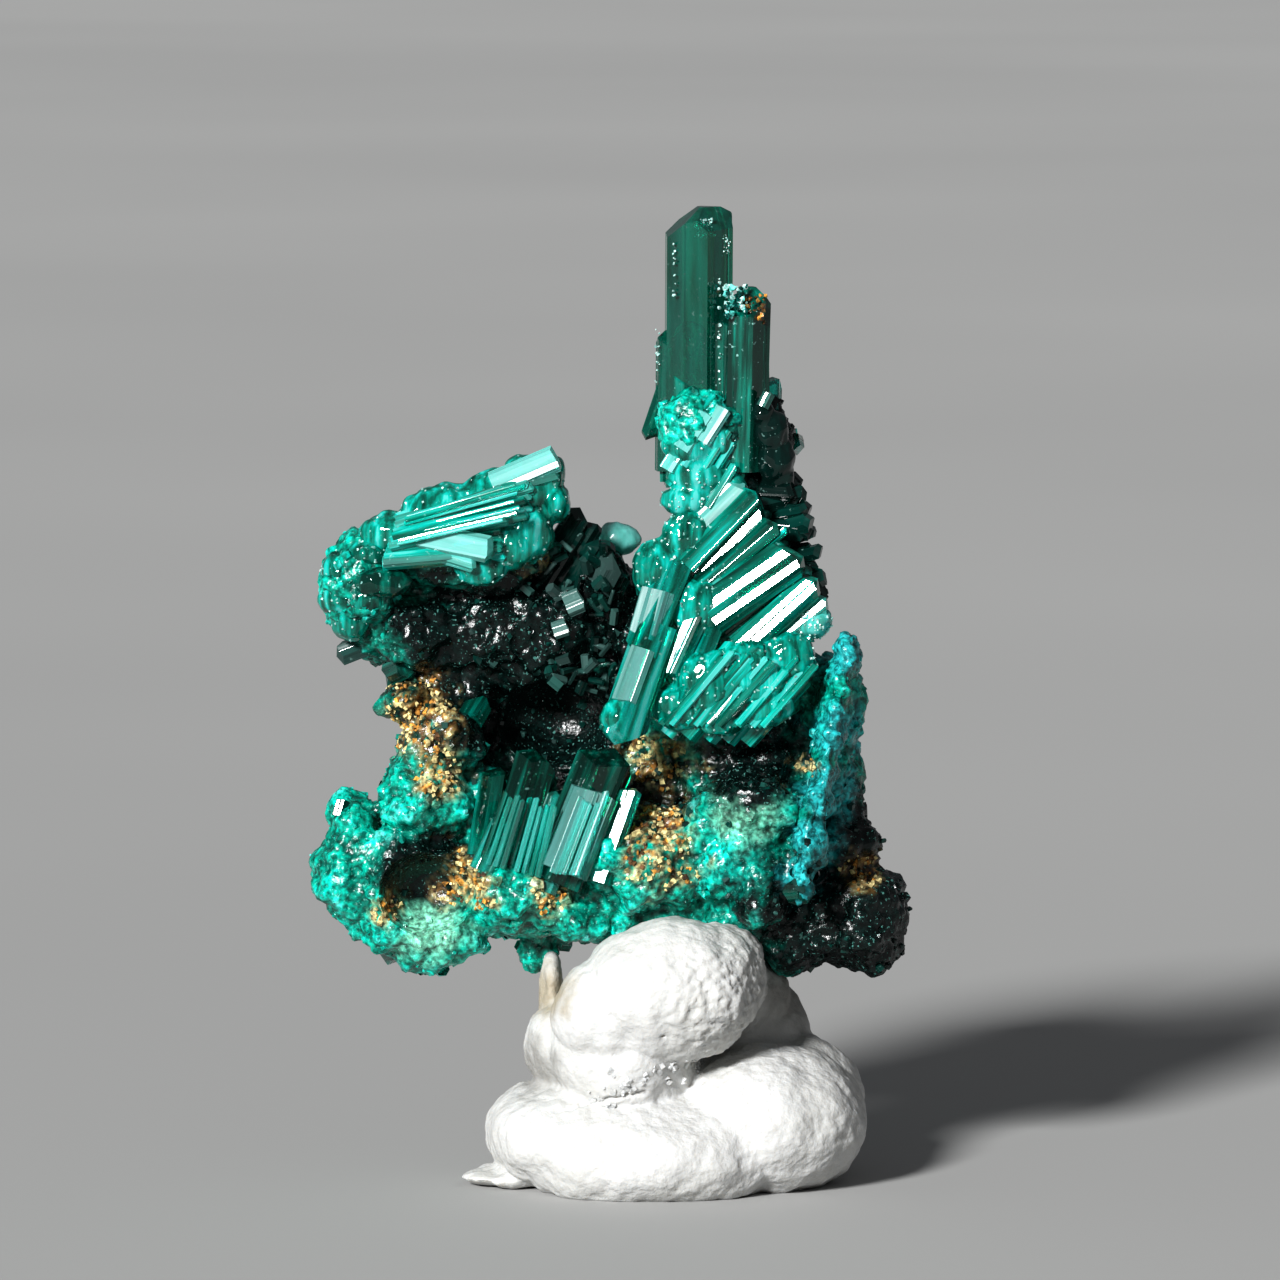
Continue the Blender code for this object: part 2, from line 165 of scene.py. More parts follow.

# Where the matrix is stained or dark, as seen from the front. The black and dark patches are partly the matrix's own
# dark colour and partly painted shade where shadow falls.
PATCHES = [
    Patch(-7.9, 18.4, 1.5, "ochre"),  # crumbs on the left column
    Patch(-6.8, 16.4, 1.1, "ochre"),
    Patch(-5.4, 18.2, 1.1, "bright"),
    Patch(-5.2, 16.4, 1.2, "bright"),
    Patch(4.6, 13.0, 1.5, "bright"),
    Patch(-5.9, 11.9, 1.1, "ochre"),  # grains in the lower left cavity
    Patch(-9.1, 10.8, 0.7, "ochre"),
    Patch(-7.3, 10.2, 1.5, "pale"),
    Patch(1.8, 13.4, 1.7, "ochre"),  # granular patch beside the lower middle crystals
    Patch(-2.4, 11.5, 1.0, "ochre"),
    Patch(1.9, 16.8, 1.4, "ochre"),
    Patch(7.7, 16.6, 0.45, "ochre"),
    Patch(9.8, 12.4, 0.8, "ochre"),
    Patch(-3.3, 25.1, 0.8, "ochre"),
    Patch(5.4, 14.9, 1.6, "pale"),
    # black notch and hollow: partly the matrix's own dark colour, partly painted shade of the recess
    Patch(-4.4, 20.6, 3.6, "black"),  # notch and hollow
    Patch(-1.2, 22.6, 2.6, "black"),
    Patch(-6.6, 21.6, 2.0, "black"),
    Patch(-2.4, 18.6, 2.8, "black"),
    # black in the small hole and in the slot under the lower fan: painted shade
    Patch(1.6, 15.4, 1.2, "black"),
    Patch(5.6, 16.8, 1.6, "black"),
    # black-green ridge: partly its own dark colour, partly painted shade
    Patch(7.0, 29.6, 2.0, "black"),  # ridge beside the foot of the spire
    # dark right edge: partly its own dark green, partly painted shade
    Patch(8.4, 25.5, 2.2, "dark"),
    # black lower right mass: partly its own dark colour, partly painted shade
    Patch(10.0, 10.6, 3.8, "black"),
    Patch(9.3, 14.2, 1.6, "black"),
    # black upper half of the lower left cavity: painted shadow under its overhanging rim
    Patch(-8.2, 12.4, 1.0, "black"),  # upper half of the lower left cavity
    Patch(-6.9, 12.6, 1.1, "black"),
    Patch(9.3, 21.2, 1.3, "blue"),  # wall down the right edge
    Patch(9.1, 18.0, 1.3, "blue"),
    Patch(8.6, 15.6, 1.3, "blue"),
    Patch(8.0, 13.6, 1.1, "blue"),
    Patch(7.5, 12.2, 0.9, "blue"),
]
TINTS = {
    "teal": (0.0, 0.31, 0.22),
    # deep green, used as painted shade in the gaps between the matrix's grains
    "deep": (0.0, 0.11, 0.08),
    # bright green, also used as painted highlight on the matrix's ridges
    "bright": (0.0, 0.52, 0.41),
    # pale rime colour, also used as painted highlight on the matrix's highest ridges
    "rime_and_ridge_highlight": (0.16, 0.78, 0.68),
    "blue": (0.02, 0.34, 0.35),
    # dark green, partly used as painted shade on the right edge
    "dark": (0.0, 0.05, 0.042),
    # near black, partly used as painted shade in recesses and shadowed masses
    "black": (0.002, 0.008, 0.007),
    "ochre": (0.55, 0.26, 0.05),
    "cream": (0.60, 0.50, 0.24),
    "brown": (0.10, 0.05, 0.02),
    "pale": (0.22, 0.62, 0.44),
    "frost": (0.50, 0.92, 0.84),
    "white": (0.54, 0.54, 0.53),
    # grey: painted shade on the putty
    "shade_grey": (0.30, 0.295, 0.28),
    "beige": (0.34, 0.30, 0.23),
}


def seen(right, up, back):
    """The point that the front view shows this far right and up, at this depth."""
    return Vector((right, back, up / math.cos(VIEW_TILT) - back * math.tan(VIEW_TILT)))


def placed(crystal):
    """The crystal with its places turned from the front view into the model's frame."""
    return crystal._replace(root=seen(*crystal.root), tip=seen(*crystal.tip))


def between(line, share):
    start, end = line
    return Vector(start).lerp(Vector(end), share)


def new_object(name, mesh):
    obj = bpy.data.objects.new(name, mesh)
    bpy.context.scene.collection.objects.link(obj)
    return obj


def object_of(name, bm):
    mesh = bpy.data.meshes.new(name)
    bm.to_mesh(mesh)
    bm.free()
    return new_object(name, mesh)


def bake(obj):
    """Turns the object's modifiers into its mesh."""
    bpy.context.view_layer.update()
    graph = bpy.context.evaluated_depsgraph_get()
    mesh = bpy.data.meshes.new_from_object(obj.evaluated_get(graph))
    obj.modifiers.clear()
    obj.data = mesh


def combine(obj, operation, others):
    """Joins or cuts the object by others, which are then removed."""
    tools = bpy.data.collections.new(operation)
    bpy.context.scene.collection.children.link(tools)
    for other in others:
        tools.objects.link(other)
    boolean = obj.modifiers.new(operation, "BOOLEAN")
    boolean.operation = operation
    boolean.solver = "MANIFOLD"
    boolean.operand_type = "COLLECTION"
    boolean.collection = tools
    bake(obj)
    for other in others:
        bpy.data.objects.remove(other)
    bpy.data.collections.remove(tools)


def lump_body(name, lumps, grow, voxel):
    """One smooth closed body round all the lumps, each made larger by grow."""
    bm = bmesh.new()
    for lump in lumps:
        size = Matrix.Diagonal([radius + grow for radius in lump.radii]).to_4x4()
        place = Matrix.Translation(seen(lump.right, lump.up, lump.back)) @ size
        bmesh.ops.create_icosphere(bm, subdivisions=4, radius=1, matrix=place)
    body = object_of(name, bm)
    remesh = body.modifiers.new("skin", "REMESH")
    remesh.mode = "VOXEL"
    remesh.voxel_size = voxel
    bake(body)
    return body


# Crystals

STRIAE = 3  # steps along each prism face
STEP_DEPTH = 0.04  # of the radius
OFF_CENTRE = 0.35  # how far a point may stand off the axis, in radii


def outline(crystal, dice, steps):
    """A six-sided outline whose sides carry long low steps, as (x, y) points."""
    broad, deep = crystal.broad, math.sin(math.pi / 3) * crystal.flat
    corners = [(1, 0), (broad, deep), (-broad, deep), (-1, 0), (-broad, -deep), (broad, -deep)]
    corners = [Vector(corner) for corner in corners]
    points = []
    for side in range(6):
        start, end = corners[side], corners[(side + 1) % 6]
        points.append(start)
        outward = (start + end).normalized()
        places = sorted(dice.uniform(0.1, 0.85) for _ in range(steps))
        for number, place in enumerate(places):
            sunk = dice.uniform(0, STEP_DEPTH)
            points.append(start.lerp(end, place) - outward * sunk)
            after = places[number + 1] if number + 1 < steps else 1.0
            if place + 0.05 < after:
                sunk = dice.uniform(0, STEP_DEPTH)
                points.append(start.lerp(end, place + 0.03) - outward * sunk)
    return [point * crystal.radius for point in points]


def roll_towards(axis, direction):
    """The turn about the axis that makes the crystal's broad face look in the direction."""
    local = axis.to_track_quat("Z", "Y").inverted() @ direction
    return math.degrees(math.atan2(local.y, local.x)) - 90


def cut_tip(bm, height):
    """Cuts off what stands above the height and closes the cut with one flat face."""
    everything = bm.verts[:] + bm.edges[:] + bm.faces[:]
    cut = bmesh.ops.bisect_plane(
        bm, geom=everything, dist=1e-5, plane_co=(0, 0, height), plane_no=(0, 0, 1), clear_outer=True,
    )
    rim = [part for part in cut["geom_cut"] if isinstance(part, bmesh.types.BMEdge)]
    bmesh.ops.contextual_create(bm, geom=rim)


def crystal_object(crystal, dice, steps=STRIAE):
    """A prism with the blunt three-faced point of dioptase, with its own grain and look."""
    root, tip = Vector(crystal.root), Vector(crystal.tip)
    axis = tip - root
    length = axis.length
    bm = bmesh.new()
    grain = bm.loops.layers.float_vector.new("grain")
    look = bm.loops.layers.float_vector.new("look")
    first = math.pi / 6 if crystal.cut else math.pi / 3
    turns = [first + number * 2 * math.pi / 3 for number in range(3)]
    faces_at = [Vector((math.cos(turn), math.sin(turn))) for turn in turns]
    off = OFF_CENTRE * crystal.radius
    centre = Vector((dice.uniform(-off, off), dice.uniform(-off, off) * crystal.flat))
    foot, shoulder = [], []
    for point in outline(crystal, dice, steps):
        sunk = max((point - centre).dot(face) for face in faces_at)
        top = max(LEAST_PRISM * length, length - crystal.rise * sunk)
        foot.append(bm.verts.new((point.x, point.y, 0)))
        shoulder.append(bm.verts.new((point.x, point.y, top)))
    apex = bm.verts.new((centre.x, centre.y, length))
    bm.faces.new(reversed(foot))
    count = len(foot)
    for corner in range(count):
        after = (corner + 1) % count
        bm.faces.new((foot[corner], foot[after], shoulder[after], shoulder[corner]))
        bm.faces.new((shoulder[corner], shoulder[after], apex))
    if crystal.cut:
        cut_tip(bm, length - crystal.cut)
    shift = Vector((dice.uniform(0, 50), dice.uniform(0, 50), dice.uniform(0, 50)))
    shade = Vector((crystal.bright, crystal.silk, dice.random()))
    for face in bm.faces:
        for loop in face.loops:
            loop[grain] = loop.vert.co + shift
            loop[look] = shade
    facing = axis.to_track_quat("Z", "Y").to_matrix().to_4x4()
    place = Matrix.Translation(root) @ facing @ Matrix.Rotation(math.radians(crystal.roll), 4, "Z")
    bm.transform(place)
    return object_of("crystal", bm)


def level_with_flash(root, tip):
    """The tip moved in depth so that the axis lies in the plane that mirrors the key light."""
    across = FLASH.x * (tip[0] - root[0]) + FLASH.z * (tip[1] - root[1]) / math.cos(VIEW_TILT)
    back = across / (FLASH.z * math.tan(VIEW_TILT) - FLASH.y)
    return (tip[0], tip[1], root[2] + back)


def blade(root, tip, radius, off=30, bright=0.3, silk=0.1, flat=0.8, broad=0.5, rise=0.8):
    """A crystal placed from the front view, its broad face turned by off degrees from the flash."""
    if len(tip) == 2:
        tip = level_with_flash(root, tip)
    root, tip = seen(*root), seen(*tip)
    roll = roll_towards(tip - root, FLASH) + off
    return Crystal(root, tip, radius, roll, flat, rise, broad, bright, silk)


def bundle(crystal, dice, riders, spread=0.7):
    """The crystal with thinner ones grown along it, a little shorter or longer."""
    root, tip = Vector(crystal.root), Vector(crystal.tip)
    axis = (tip - root).normalized()
    side = axis.cross(VIEW_FROM).normalized()
    out = side.cross(axis)
    if out.dot(VIEW_FROM) < 0:
        out = -out
    yield crystal
    for _ in range(riders):
        shift = side * dice.choice((-1, 1)) * dice.uniform(0.5, 1.2) + out * dice.uniform(-0.6, 0.5)
        shift *= crystal.radius * spread
        start = root.lerp(tip, dice.uniform(0.0, 0.3)) + shift
        end = root.lerp(tip, dice.uniform(0.6, 1.02)) + shift
        yield crystal._replace(
            root=start, tip=end, radius=crystal.radius * dice.uniform(0.25, 0.5), broad=0.5,
            roll=crystal.roll + dice.uniform(-12, 12),
            bright=min(1.0, max(0.0, crystal.bright + dice.uniform(-0.25, 0.25))),
            silk=min(1.0, max(0.0, crystal.silk + dice.uniform(-0.1, 0.3))),
        )


def with_chips(crystals, dice, count, size=(0.1, 0.24)):
    """The crystals, with short thin ones grown in steps on the sides that face the viewer."""
    for crystal in crystals:
        yield crystal
        root, tip = Vector(crystal.root), Vector(crystal.tip)
        length = (tip - root).length
        axis = (tip - root).normalized()
        side = axis.cross(VIEW_FROM).normalized()
        out = side.cross(axis)
        if out.dot(VIEW_FROM) < 0:
            out = -out
        for _ in range(count):
            across = dice.uniform(-0.8, 0.8)
            rise = crystal.flat * (0.86 if abs(across) < 0.5 else 0.5)
            shift = (side * across + out * rise * dice.uniform(0.75, 1.0)) * crystal.radius
            start = dice.uniform(0.05, 0.8)
            reach = min(0.96, start + dice.uniform(0.4, 1.6) / length)
            wobble = side * dice.uniform(-0.06, 0.06)
            yield crystal._replace(
                root=root.lerp(tip, start) + shift, tip=root.lerp(tip, reach) + shift + wobble,
                radius=dice.uniform(*size), broad=0.5, flat=1.0,
                roll=crystal.roll + dice.uniform(-6, 6),
                bright=clamp(crystal.bright + dice.uniform(-0.3, 0.35)),
                silk=clamp(crystal.silk + dice.uniform(-0.2, 0.4)),
            )


def row_of_blades(roots, tips, count, radius, dice, off, bright, silk=(0.0, 0.5), level=False, **shape):
    """Blades side by side between a line of roots and a line of tips; level ones can flash."""
    for number in range(count):
        share = (number + 0.5) / count
        shift = dice.uniform(-0.3, 0.3)
        root = between(roots, share) + Vector((0, 0, shift))
        tip = between(tips, share) + Vector((0, 0, shift))
        tip = root.lerp(tip, dice.uniform(0.88, 1.04))
        yield blade(
            root, tip[:2] if level else tip, radius * dice.uniform(0.8, 1.2), dice.uniform(*off),
            dice.uniform(*bright), dice.uniform(*silk), **shape,
        )


def union(name, objects):
    first, rest = objects[0], objects[1:]
    first.name = name
    combine(first, "UNION", rest)
    return first


def crystals_of(listed, dice, riders=0, steps=STRIAE):
    made = []
    for crystal in listed:
        for each in bundle(crystal, dice, riders):
            made.append(crystal_object(each, dice, steps))
    return made


# Rounded crystal growth: bodies of lumps with a brightness each

ROUNDED = {
    "bright_lumps": (0.66, [
        Lump(2.7, 30.4, -0.8, (0.8, 0.7, 0.8)),
        Lump(3.7, 30.7, -1.0, (0.9, 0.7, 0.7)),
        Lump(3.0, 29.4, -1.2, (1.1, 0.8, 0.9)),
        Lump(4.1, 29.6, -1.1, (0.8, 0.7, 0.9)),
        Lump(3.3, 28.2, -1.2, (1.2, 0.8, 0.8)),
        Lump(3.0, 27.2, -1.2, (1.2, 0.8, 0.7)),
        Lump(4.6, 27.6, -1.0, (0.7, 0.7, 0.8)),
    ]),
    "spire_cloud": (0.5, [
        Lump(3.2, 33.4, 0.2, (0.9, 0.6, 1.0)),
        Lump(2.9, 32.2, 0.2, (1.0, 0.7, 1.0)),
        Lump(3.8, 31.8, 0.2, (0.9, 0.7, 1.0)),
    ]),
    "fan_body": (0.6, [
        Lump(-8.6, 25.8, -1.5, (1.6, 1.0, 1.0)),
        Lump(-6.5, 26.7, -1.5, (2.0, 1.0, 1.2)),
        Lump(-4.5, 27.4, -1.3, (1.6, 1.0, 1.1)),
        Lump(-3.1, 27.8, -1.3, (0.9, 1.0, 1.1)),
        Lump(-3.4, 26.0, -1.6, (1.0, 1.0, 1.4)),
        Lump(-3.6, 28.2, -1.4, (0.9, 0.7, 0.8)),
        Lump(-2.6, 28.2, -1.4, (0.7, 0.9, 0.8)),
        Lump(-2.3, 27.1, -1.4, (0.6, 1.0, 0.8)),
        Lump(-5.3, 24.6, -2.3, (1.1, 0.8, 0.8)),
        Lump(-4.2, 25.3, -2.1, (1.0, 0.8, 0.9)),
    ]),
    "fan_end": (0.4, [
        Lump(-10.8, 24.5, -1.2, (0.9, 1.2, 0.8)),
        Lump(-11.0, 23.4, -1.2, (0.8, 1.2, 0.8)),
        Lump(-10.5, 22.4, -1.2, (0.8, 1.0, 0.8)),
        Lump(-9.8, 25.1, -1.6, (0.9, 1.0, 0.6)),
        Lump(-9.9, 23.3, -1.9, (0.9, 0.8, 0.7)),
    ]),
    "dark_bulge": (0.05, [Lump(-9.2, 23.9, -2.5, (1.2, 0.6, 0.6))]),
    "green_bulb": (0.4, [Lump(0.2, 18.5, -3.2, (0.8, 0.7, 0.9))]),
    "mosaic": (0.5, [
        Lump(2.0, 24.4, -1.5, (1.3, 0.8, 1.4)),
        Lump(3.0, 25.8, -1.5, (1.1, 0.7, 1.1)),
        Lump(3.4, 22.9, -1.9, (1.3, 0.8, 1.2)),
    ]),
    "lower_fan_body": (0.58, [
        Lump(2.6, 19.0, -2.4, (1.2, 0.9, 1.0)),
        Lump(3.8, 19.9, -2.5, (1.5, 0.9, 1.4)),
        Lump(5.4, 20.3, -2.4, (1.6, 0.9, 1.4)),
        Lump(6.9, 20.9, -2.1, (1.2, 0.9, 1.1)),
        Lump(5.8, 19.0, -2.2, (1.4, 0.8, 0.9)),
        Lump(4.2, 18.5, -2.3, (1.2, 0.8, 0.7)),
    ]),
    "pale_crust": (0.8, [Lump(7.9, 22.4, -1.6, (0.8, 0.7, 0.7))]),
    "pale_crystal": (1.0, [Lump(0.2, 25.7, 2.2, (0.85, 0.8, 0.7))]),
}
SPECKLED = ("bright_lumps", "fan_body", "fan_end", "mosaic", "lower_fan_body", "pale_crust")
RIDGE = [
    Lump(5.9, 30.7, -1.0, (0.5, 0.6, 0.6)),
    Lump(6.2, 30.0, -0.8, (0.8, 0.7, 0.9)),
    Lump(6.4, 28.9, -0.6, (0.8, 0.8, 1.0)),
    Lump(6.6, 28.1, -0.4, (0.7, 0.7, 0.7)),
]


SPECKS_EACH = 90


def rounded_body(name, bright, lumps, dice):
    """A smooth lumpy body of crystal with the same grain and look values as the prisms."""
    body = lump_body(name, lumps, 0.0, 0.1)
    displace(body, knobbly)
    count = len(body.data.vertices)
    grain = body.data.attributes.new("grain", "FLOAT_VECTOR", "POINT")
    shift = dice.uniform(0, 50)
    grain.data.foreach_set("vector", [part + shift for vertex in body.data.vertices for part in vertex.co])
    look = body.data.attributes.new("look", "FLOAT_VECTOR", "POINT")
    silk = max(0.0, 2 * bright - 1.1)  # only the brightest bodies are silky
    look.data.foreach_set("vector", [bright, silk, 0.5] * count)
    return body


# Tints of the matrix and the druse

def clamp(value):
    return min(1.0, max(0.0, value))


STAINED_TO = 3.6  # how far back the patches reach


def kind_weights(point):
    """How strongly each kind of stain covers a point, from its place and seeded noise."""
    right = point.x
    up = (point.z + point.y * math.tan(VIEW_TILT)) * math.cos(VIEW_TILT)
    weights = dict.fromkeys(TINTS, 0.0)
    wander = noise.fractal(point / 1.1, 0.9, 2.0, 3)
    if point.y < STAINED_TO:
        for patch in PATCHES:
            away = math.hypot(right - patch.right, up - patch.up) / patch.reach
            if away < 1.9:
                # Black patches, which are partly painted shade, are filled in more strongly.
                fill = 2.3 if patch.kind == "black" else 1.6
                weight = clamp(fill - 1.3 * away + 0.7 * wander)
                weights[patch.kind] = max(weights[patch.kind], weight)
    else:
        stain = noise.fractal(point / 4.0 + Vector((9, 0, 0)), 0.9, 2.0, 4)
        weights["ochre"] = clamp(3.0 * stain - 0.9)
        weights["dark"] = clamp(-2.0 * stain + 0.1)
    return weights


def mix(first, second, share):
    return tuple(a + (b - a) * share for a, b in zip(first, second))


def rock_tint(point, height):
    """The matrix colour: painted shade in its gaps, painted highlight on its ridges, stained in patches."""
    weights = kind_weights(point)
    fine = noise.noise(point / 0.4)
    level = height + 0.35 * fine + 0.25 * noise.noise(point / 1.6 + Vector((0, 0, 40)))
    # Painted light and shade: lower places are painted darker, higher places lighter and paler.
    if level < 0:
        colour = mix(TINTS["teal"], TINTS["deep"], clamp(-2.6 * level))
    else:
        colour = mix(TINTS["teal"], TINTS["bright"], clamp(2.2 * level))
        colour = mix(colour, TINTS["rime_and_ridge_highlight"], clamp(2.5 * level - 1.1))
    for kind in ("bright", "pale", "dark", "black", "blue"):
        colour = mix(colour, TINTS[kind], weights[kind])
    crumbs = weights["ochre"] * clamp(0.5 + 1.8 * noise.noise(point / 0.25 + Vector((30, 0, 0))))
    earth = mix(TINTS["ochre"], TINTS["cream"], clamp(0.5 + 2 * fine))
    # Ochre crumbs are painted browner in the gaps, as painted shade.
    earth = mix(earth, TINTS["brown"], clamp(-2.5 * level))
    return mix(colour, earth, crumbs)


# Materials

# Painted sheen: the pale colour that silky faces are painted toward.
PAINTED_SILK_SHEEN = (0.32, 0.80, 0.75)
# Crystals less silky than this get no painted sheen.
SILK_FROM = 0.2  # crystals less silky than this keep their own green


def new_material(name):
    made = bpy.data.materials.new(name)
    made.use_nodes = True
    tree = made.node_tree
    shader = tree.nodes["Principled BSDF"]
    return made, tree, shader


def link(tree, start, socket, end, into):
    tree.links.new(start.outputs[socket], end.inputs[into])


def add(tree, kind, **values):
    node = tree.nodes.new(kind)
    for name, value in values.items():
        setattr(node, name, value)
    return node


def ramp(tree, stops, source, socket="Fac"):
    node = tree.nodes.new("ShaderNodeValToRGB")
    elements = node.color_ramp.elements
    while len(elements) < len(stops):
        elements.new(0.5)
    for element, (place, colour) in zip(elements, stops):
        element.position = place
        element.color = (*colour, 1)
    link(tree, source, socket, node, "Fac")
    return node


def math_node(tree, operation, first, second):
    """A sum or product of two sockets or numbers; gives its output socket."""
    node = add(tree, "ShaderNodeMath", operation=operation)
    for place, value in enumerate((first, second)):
        if isinstance(value, (int, float)):
            node.inputs[place].default_value = value
        else:
            tree.links.new(value, node.inputs[place])
    return node.outputs["Value"]


def grain_noise(tree, scale, stretch, detail=3.0):
    """Noise drawn out along each crystal's own axis."""
    place = add(tree, "ShaderNodeAttribute", attribute_name="grain")
    mapping = tree.nodes.new("ShaderNodeMapping")
    mapping.inputs["Scale"].default_value = (scale, scale, scale / stretch)
    link(tree, place, "Vector", mapping, "Vector")
    made = tree.nodes.new("ShaderNodeTexNoise")
    made.inputs["Scale"].default_value = 1.0
    made.inputs["Detail"].default_value = detail
    link(tree, mapping, "Vector", made, "Vector")
    return made


def space_noise(tree, scale, detail):
    place = tree.nodes.new("ShaderNodeTexCoord")
    made = tree.nodes.new("ShaderNodeTexNoise")
    made.inputs["Scale"].default_value = scale
    made.inputs["Detail"].default_value = detail
    link(tree, place, "Object", made, "Vector")
    return made


def bump(tree, shader, height, distance, strength=1.0):
    node = tree.nodes.new("ShaderNodeBump")
    node.inputs["Strength"].default_value = strength
    node.inputs["Distance"].default_value = distance
    tree.links.new(height, node.inputs["Height"])
    link(tree, node, "Normal", shader, "Normal")


def absorb(tree, colour, density):
    """Depth colour: what the crystal takes out of the light that passes through."""
    volume = tree.nodes.new("ShaderNodeVolumeAbsorption")
    volume.inputs["Color"].default_value = (*colour, 1)
    volume.inputs["Density"].default_value = density
    link(tree, volume, "Volume", tree.nodes["Material Output"], "Volume")


def crystal_material(
    name, density, stops, transmission, wander=1.3, fleck=(0.5, 1.0, 0.92), gloss=0.35, painted_sheen=PAINTED_SILK_SHEEN,
):
    """Green crystal that is seen through, with silky bands along its axis.

    The look attribute holds each crystal's brightness and how silky its faces are; silky faces are rougher, and
    painted paler as a painted sheen.
    """
    made, tree, shader = new_material(name)
    shader.inputs["IOR"].default_value = 1.66
    shader.inputs["Specular IOR Level"].default_value = gloss
    shader.inputs["Transmission Weight"].default_value = transmission
    look = add(tree, "ShaderNodeAttribute", attribute_name="look")
    parts = tree.nodes.new("ShaderNodeSeparateXYZ")
    link(tree, look, "Vector", parts, "Vector")
    bands = grain_noise(tree, 2.6, 10.0, 5.0)
    swing = math_node(tree, "MULTIPLY", math_node(tree, "SUBTRACT", bands.outputs["Fac"], 0.5), wander * 2)
    level = math_node(tree, "ADD", parts.outputs["X"], swing)
    colours = ramp(tree, stops, look)
    tree.links.new(level, colours.inputs["Fac"])
    flecks = ramp(tree, [(0.66, (0, 0, 0)), (0.72, (0.8, 0.8, 0.8))], space_noise(tree, 5200.0, 3.0))
    spotted = add(tree, "ShaderNodeMix", data_type="RGBA")
    link(tree, flecks, "Color", spotted, "Factor")
    # Painted sheen: silky faces are mixed toward a pale colour.
    silky = add(tree, "ShaderNodeMix", data_type="RGBA")
    over = math_node(tree, "SUBTRACT", parts.outputs["Y"], SILK_FROM)
    tree.links.new(math_node(tree, "MAXIMUM", over, 0.0), silky.inputs["Factor"])
    tree.links.new(colours.outputs["Color"], silky.inputs["A"])
    silky.inputs["B"].default_value = (*painted_sheen, 1)
    tree.links.new(silky.outputs["Result"], spotted.inputs["A"])
    spotted.inputs["B"].default_value = (*fleck, 1)
    tree.links.new(spotted.outputs["Result"], shader.inputs["Base Color"])
    silk = math_node(tree, "MULTIPLY", parts.outputs["Y"], 0.22)
    streak = math_node(tree, "MULTIPLY", grain_noise(tree, 7.0, 14.0).outputs["Fac"], 0.10)
    tree.links.new(math_node(tree, "ADD", silk, streak), shader.inputs["Roughness"])
    fine = math_node(tree, "MULTIPLY", grain_noise(tree, 9.0, 18.0, 1.0).outputs["Fac"], 0.15)
    broken = grain_noise(tree, 1.6, 4.0, 2.0).outputs["Fac"]
    bump(tree, shader, math_node(tree, "ADD", fine, broken), 0.00004, 0.25)
    if transmission:
        absorb(tree, (0.0, 0.96, 0.944), density)
    return made


def tinted_material(name, roughness, transmission=0.0, relief=0.00005, glow=0.0, fleck=(0.12, 0.32, 0.28)):
    made, tree, shader = new_material(name)
    shader.inputs["Subsurface Weight"].default_value = glow
    shader.inputs["Subsurface Radius"].default_value = (0.0001, 0.0006, 0.0005)
    shader.inputs["Subsurface Scale"].default_value = 1.0
    tint = add(tree, "ShaderNodeAttribute", attribute_name="tint")
    speckle = space_noise(tree, 4200.0, 4.0)
    value = ramp(
        tree, [(0.36, (0.3, 0.3, 0.3)), (0.5, (0.85, 0.85, 0.85)), (0.64, (1.6, 1.6, 1.6))], speckle,
    )
    product = add(tree, "ShaderNodeMix", data_type="RGBA", blend_type="MULTIPLY")
    product.inputs["Factor"].default_value = 1.0
    tree.links.new(tint.outputs["Color"], product.inputs["A"])
    tree.links.new(value.outputs["Color"], product.inputs["B"])
    flecks = ramp(tree, [(0.63, (0, 0, 0)), (0.68, (0.6, 0.6, 0.6))], space_noise(tree, 7500.0, 2.0))
    spotted = add(tree, "ShaderNodeMix", data_type="RGBA", blend_type="ADD")
    link(tree, flecks, "Color", spotted, "Factor")
    tree.links.new(product.outputs["Result"], spotted.inputs["A"])
    spotted.inputs["B"].default_value = (*fleck, 1)
    tree.links.new(spotted.outputs["Result"], shader.inputs["Base Color"])
    shader.inputs["Roughness"].default_value = roughness
    shader.inputs["IOR"].default_value = 1.6
    shader.inputs["Specular IOR Level"].default_value = 0.3
    shader.inputs["Transmission Weight"].default_value = transmission
    bump(tree, shader, speckle.outputs["Fac"], relief)
    return made


def putty_material():
    made, tree, shader = new_material("putty")
    tint = add(tree, "ShaderNodeAttribute", attribute_name="tint")
    smear = ramp(tree, [(0.3, (0.92, 0.92, 0.90)), (0.65, (1.03, 1.03, 1.03))], space_noise(tree, 260.0, 3.0))
    product = add(tree, "ShaderNodeMix", data_type="RGBA", blend_type="MULTIPLY")
    product.inputs["Factor"].default_value = 1.0
    tree.links.new(tint.outputs["Color"], product.inputs["A"])
    tree.links.new(smear.outputs["Color"], product.inputs["B"])
    tree.links.new(product.outputs["Result"], shader.inputs["Base Color"])
    shader.inputs["Roughness"].default_value = 0.7
    shader.inputs["Subsurface Weight"].default_value = 0.3
    shader.inputs["Subsurface Radius"].default_value = (0.0006, 0.0005, 0.0004)
    shader.inputs["Subsurface Scale"].default_value = 1.0
    bump(tree, shader, space_noise(tree, 3000.0, 5.0).outputs["Fac"], 0.00012, 0.9)
    return made


def floor_material():
    made, tree, shader = new_material("tabletop")
    cloud = space_noise(tree, 6.0, 2.0)
    colours = ramp(tree, [(0.35, (0.40, 0.40, 0.394)), (0.65, (0.425, 0.425, 0.418))], cloud)
    link(tree, colours, "Color", shader, "Base Color")
    shader.inputs["Roughness"].default_value = 0.9
    shader.inputs["Specular IOR Level"].default_value = 0.1
    return made


# Pieces

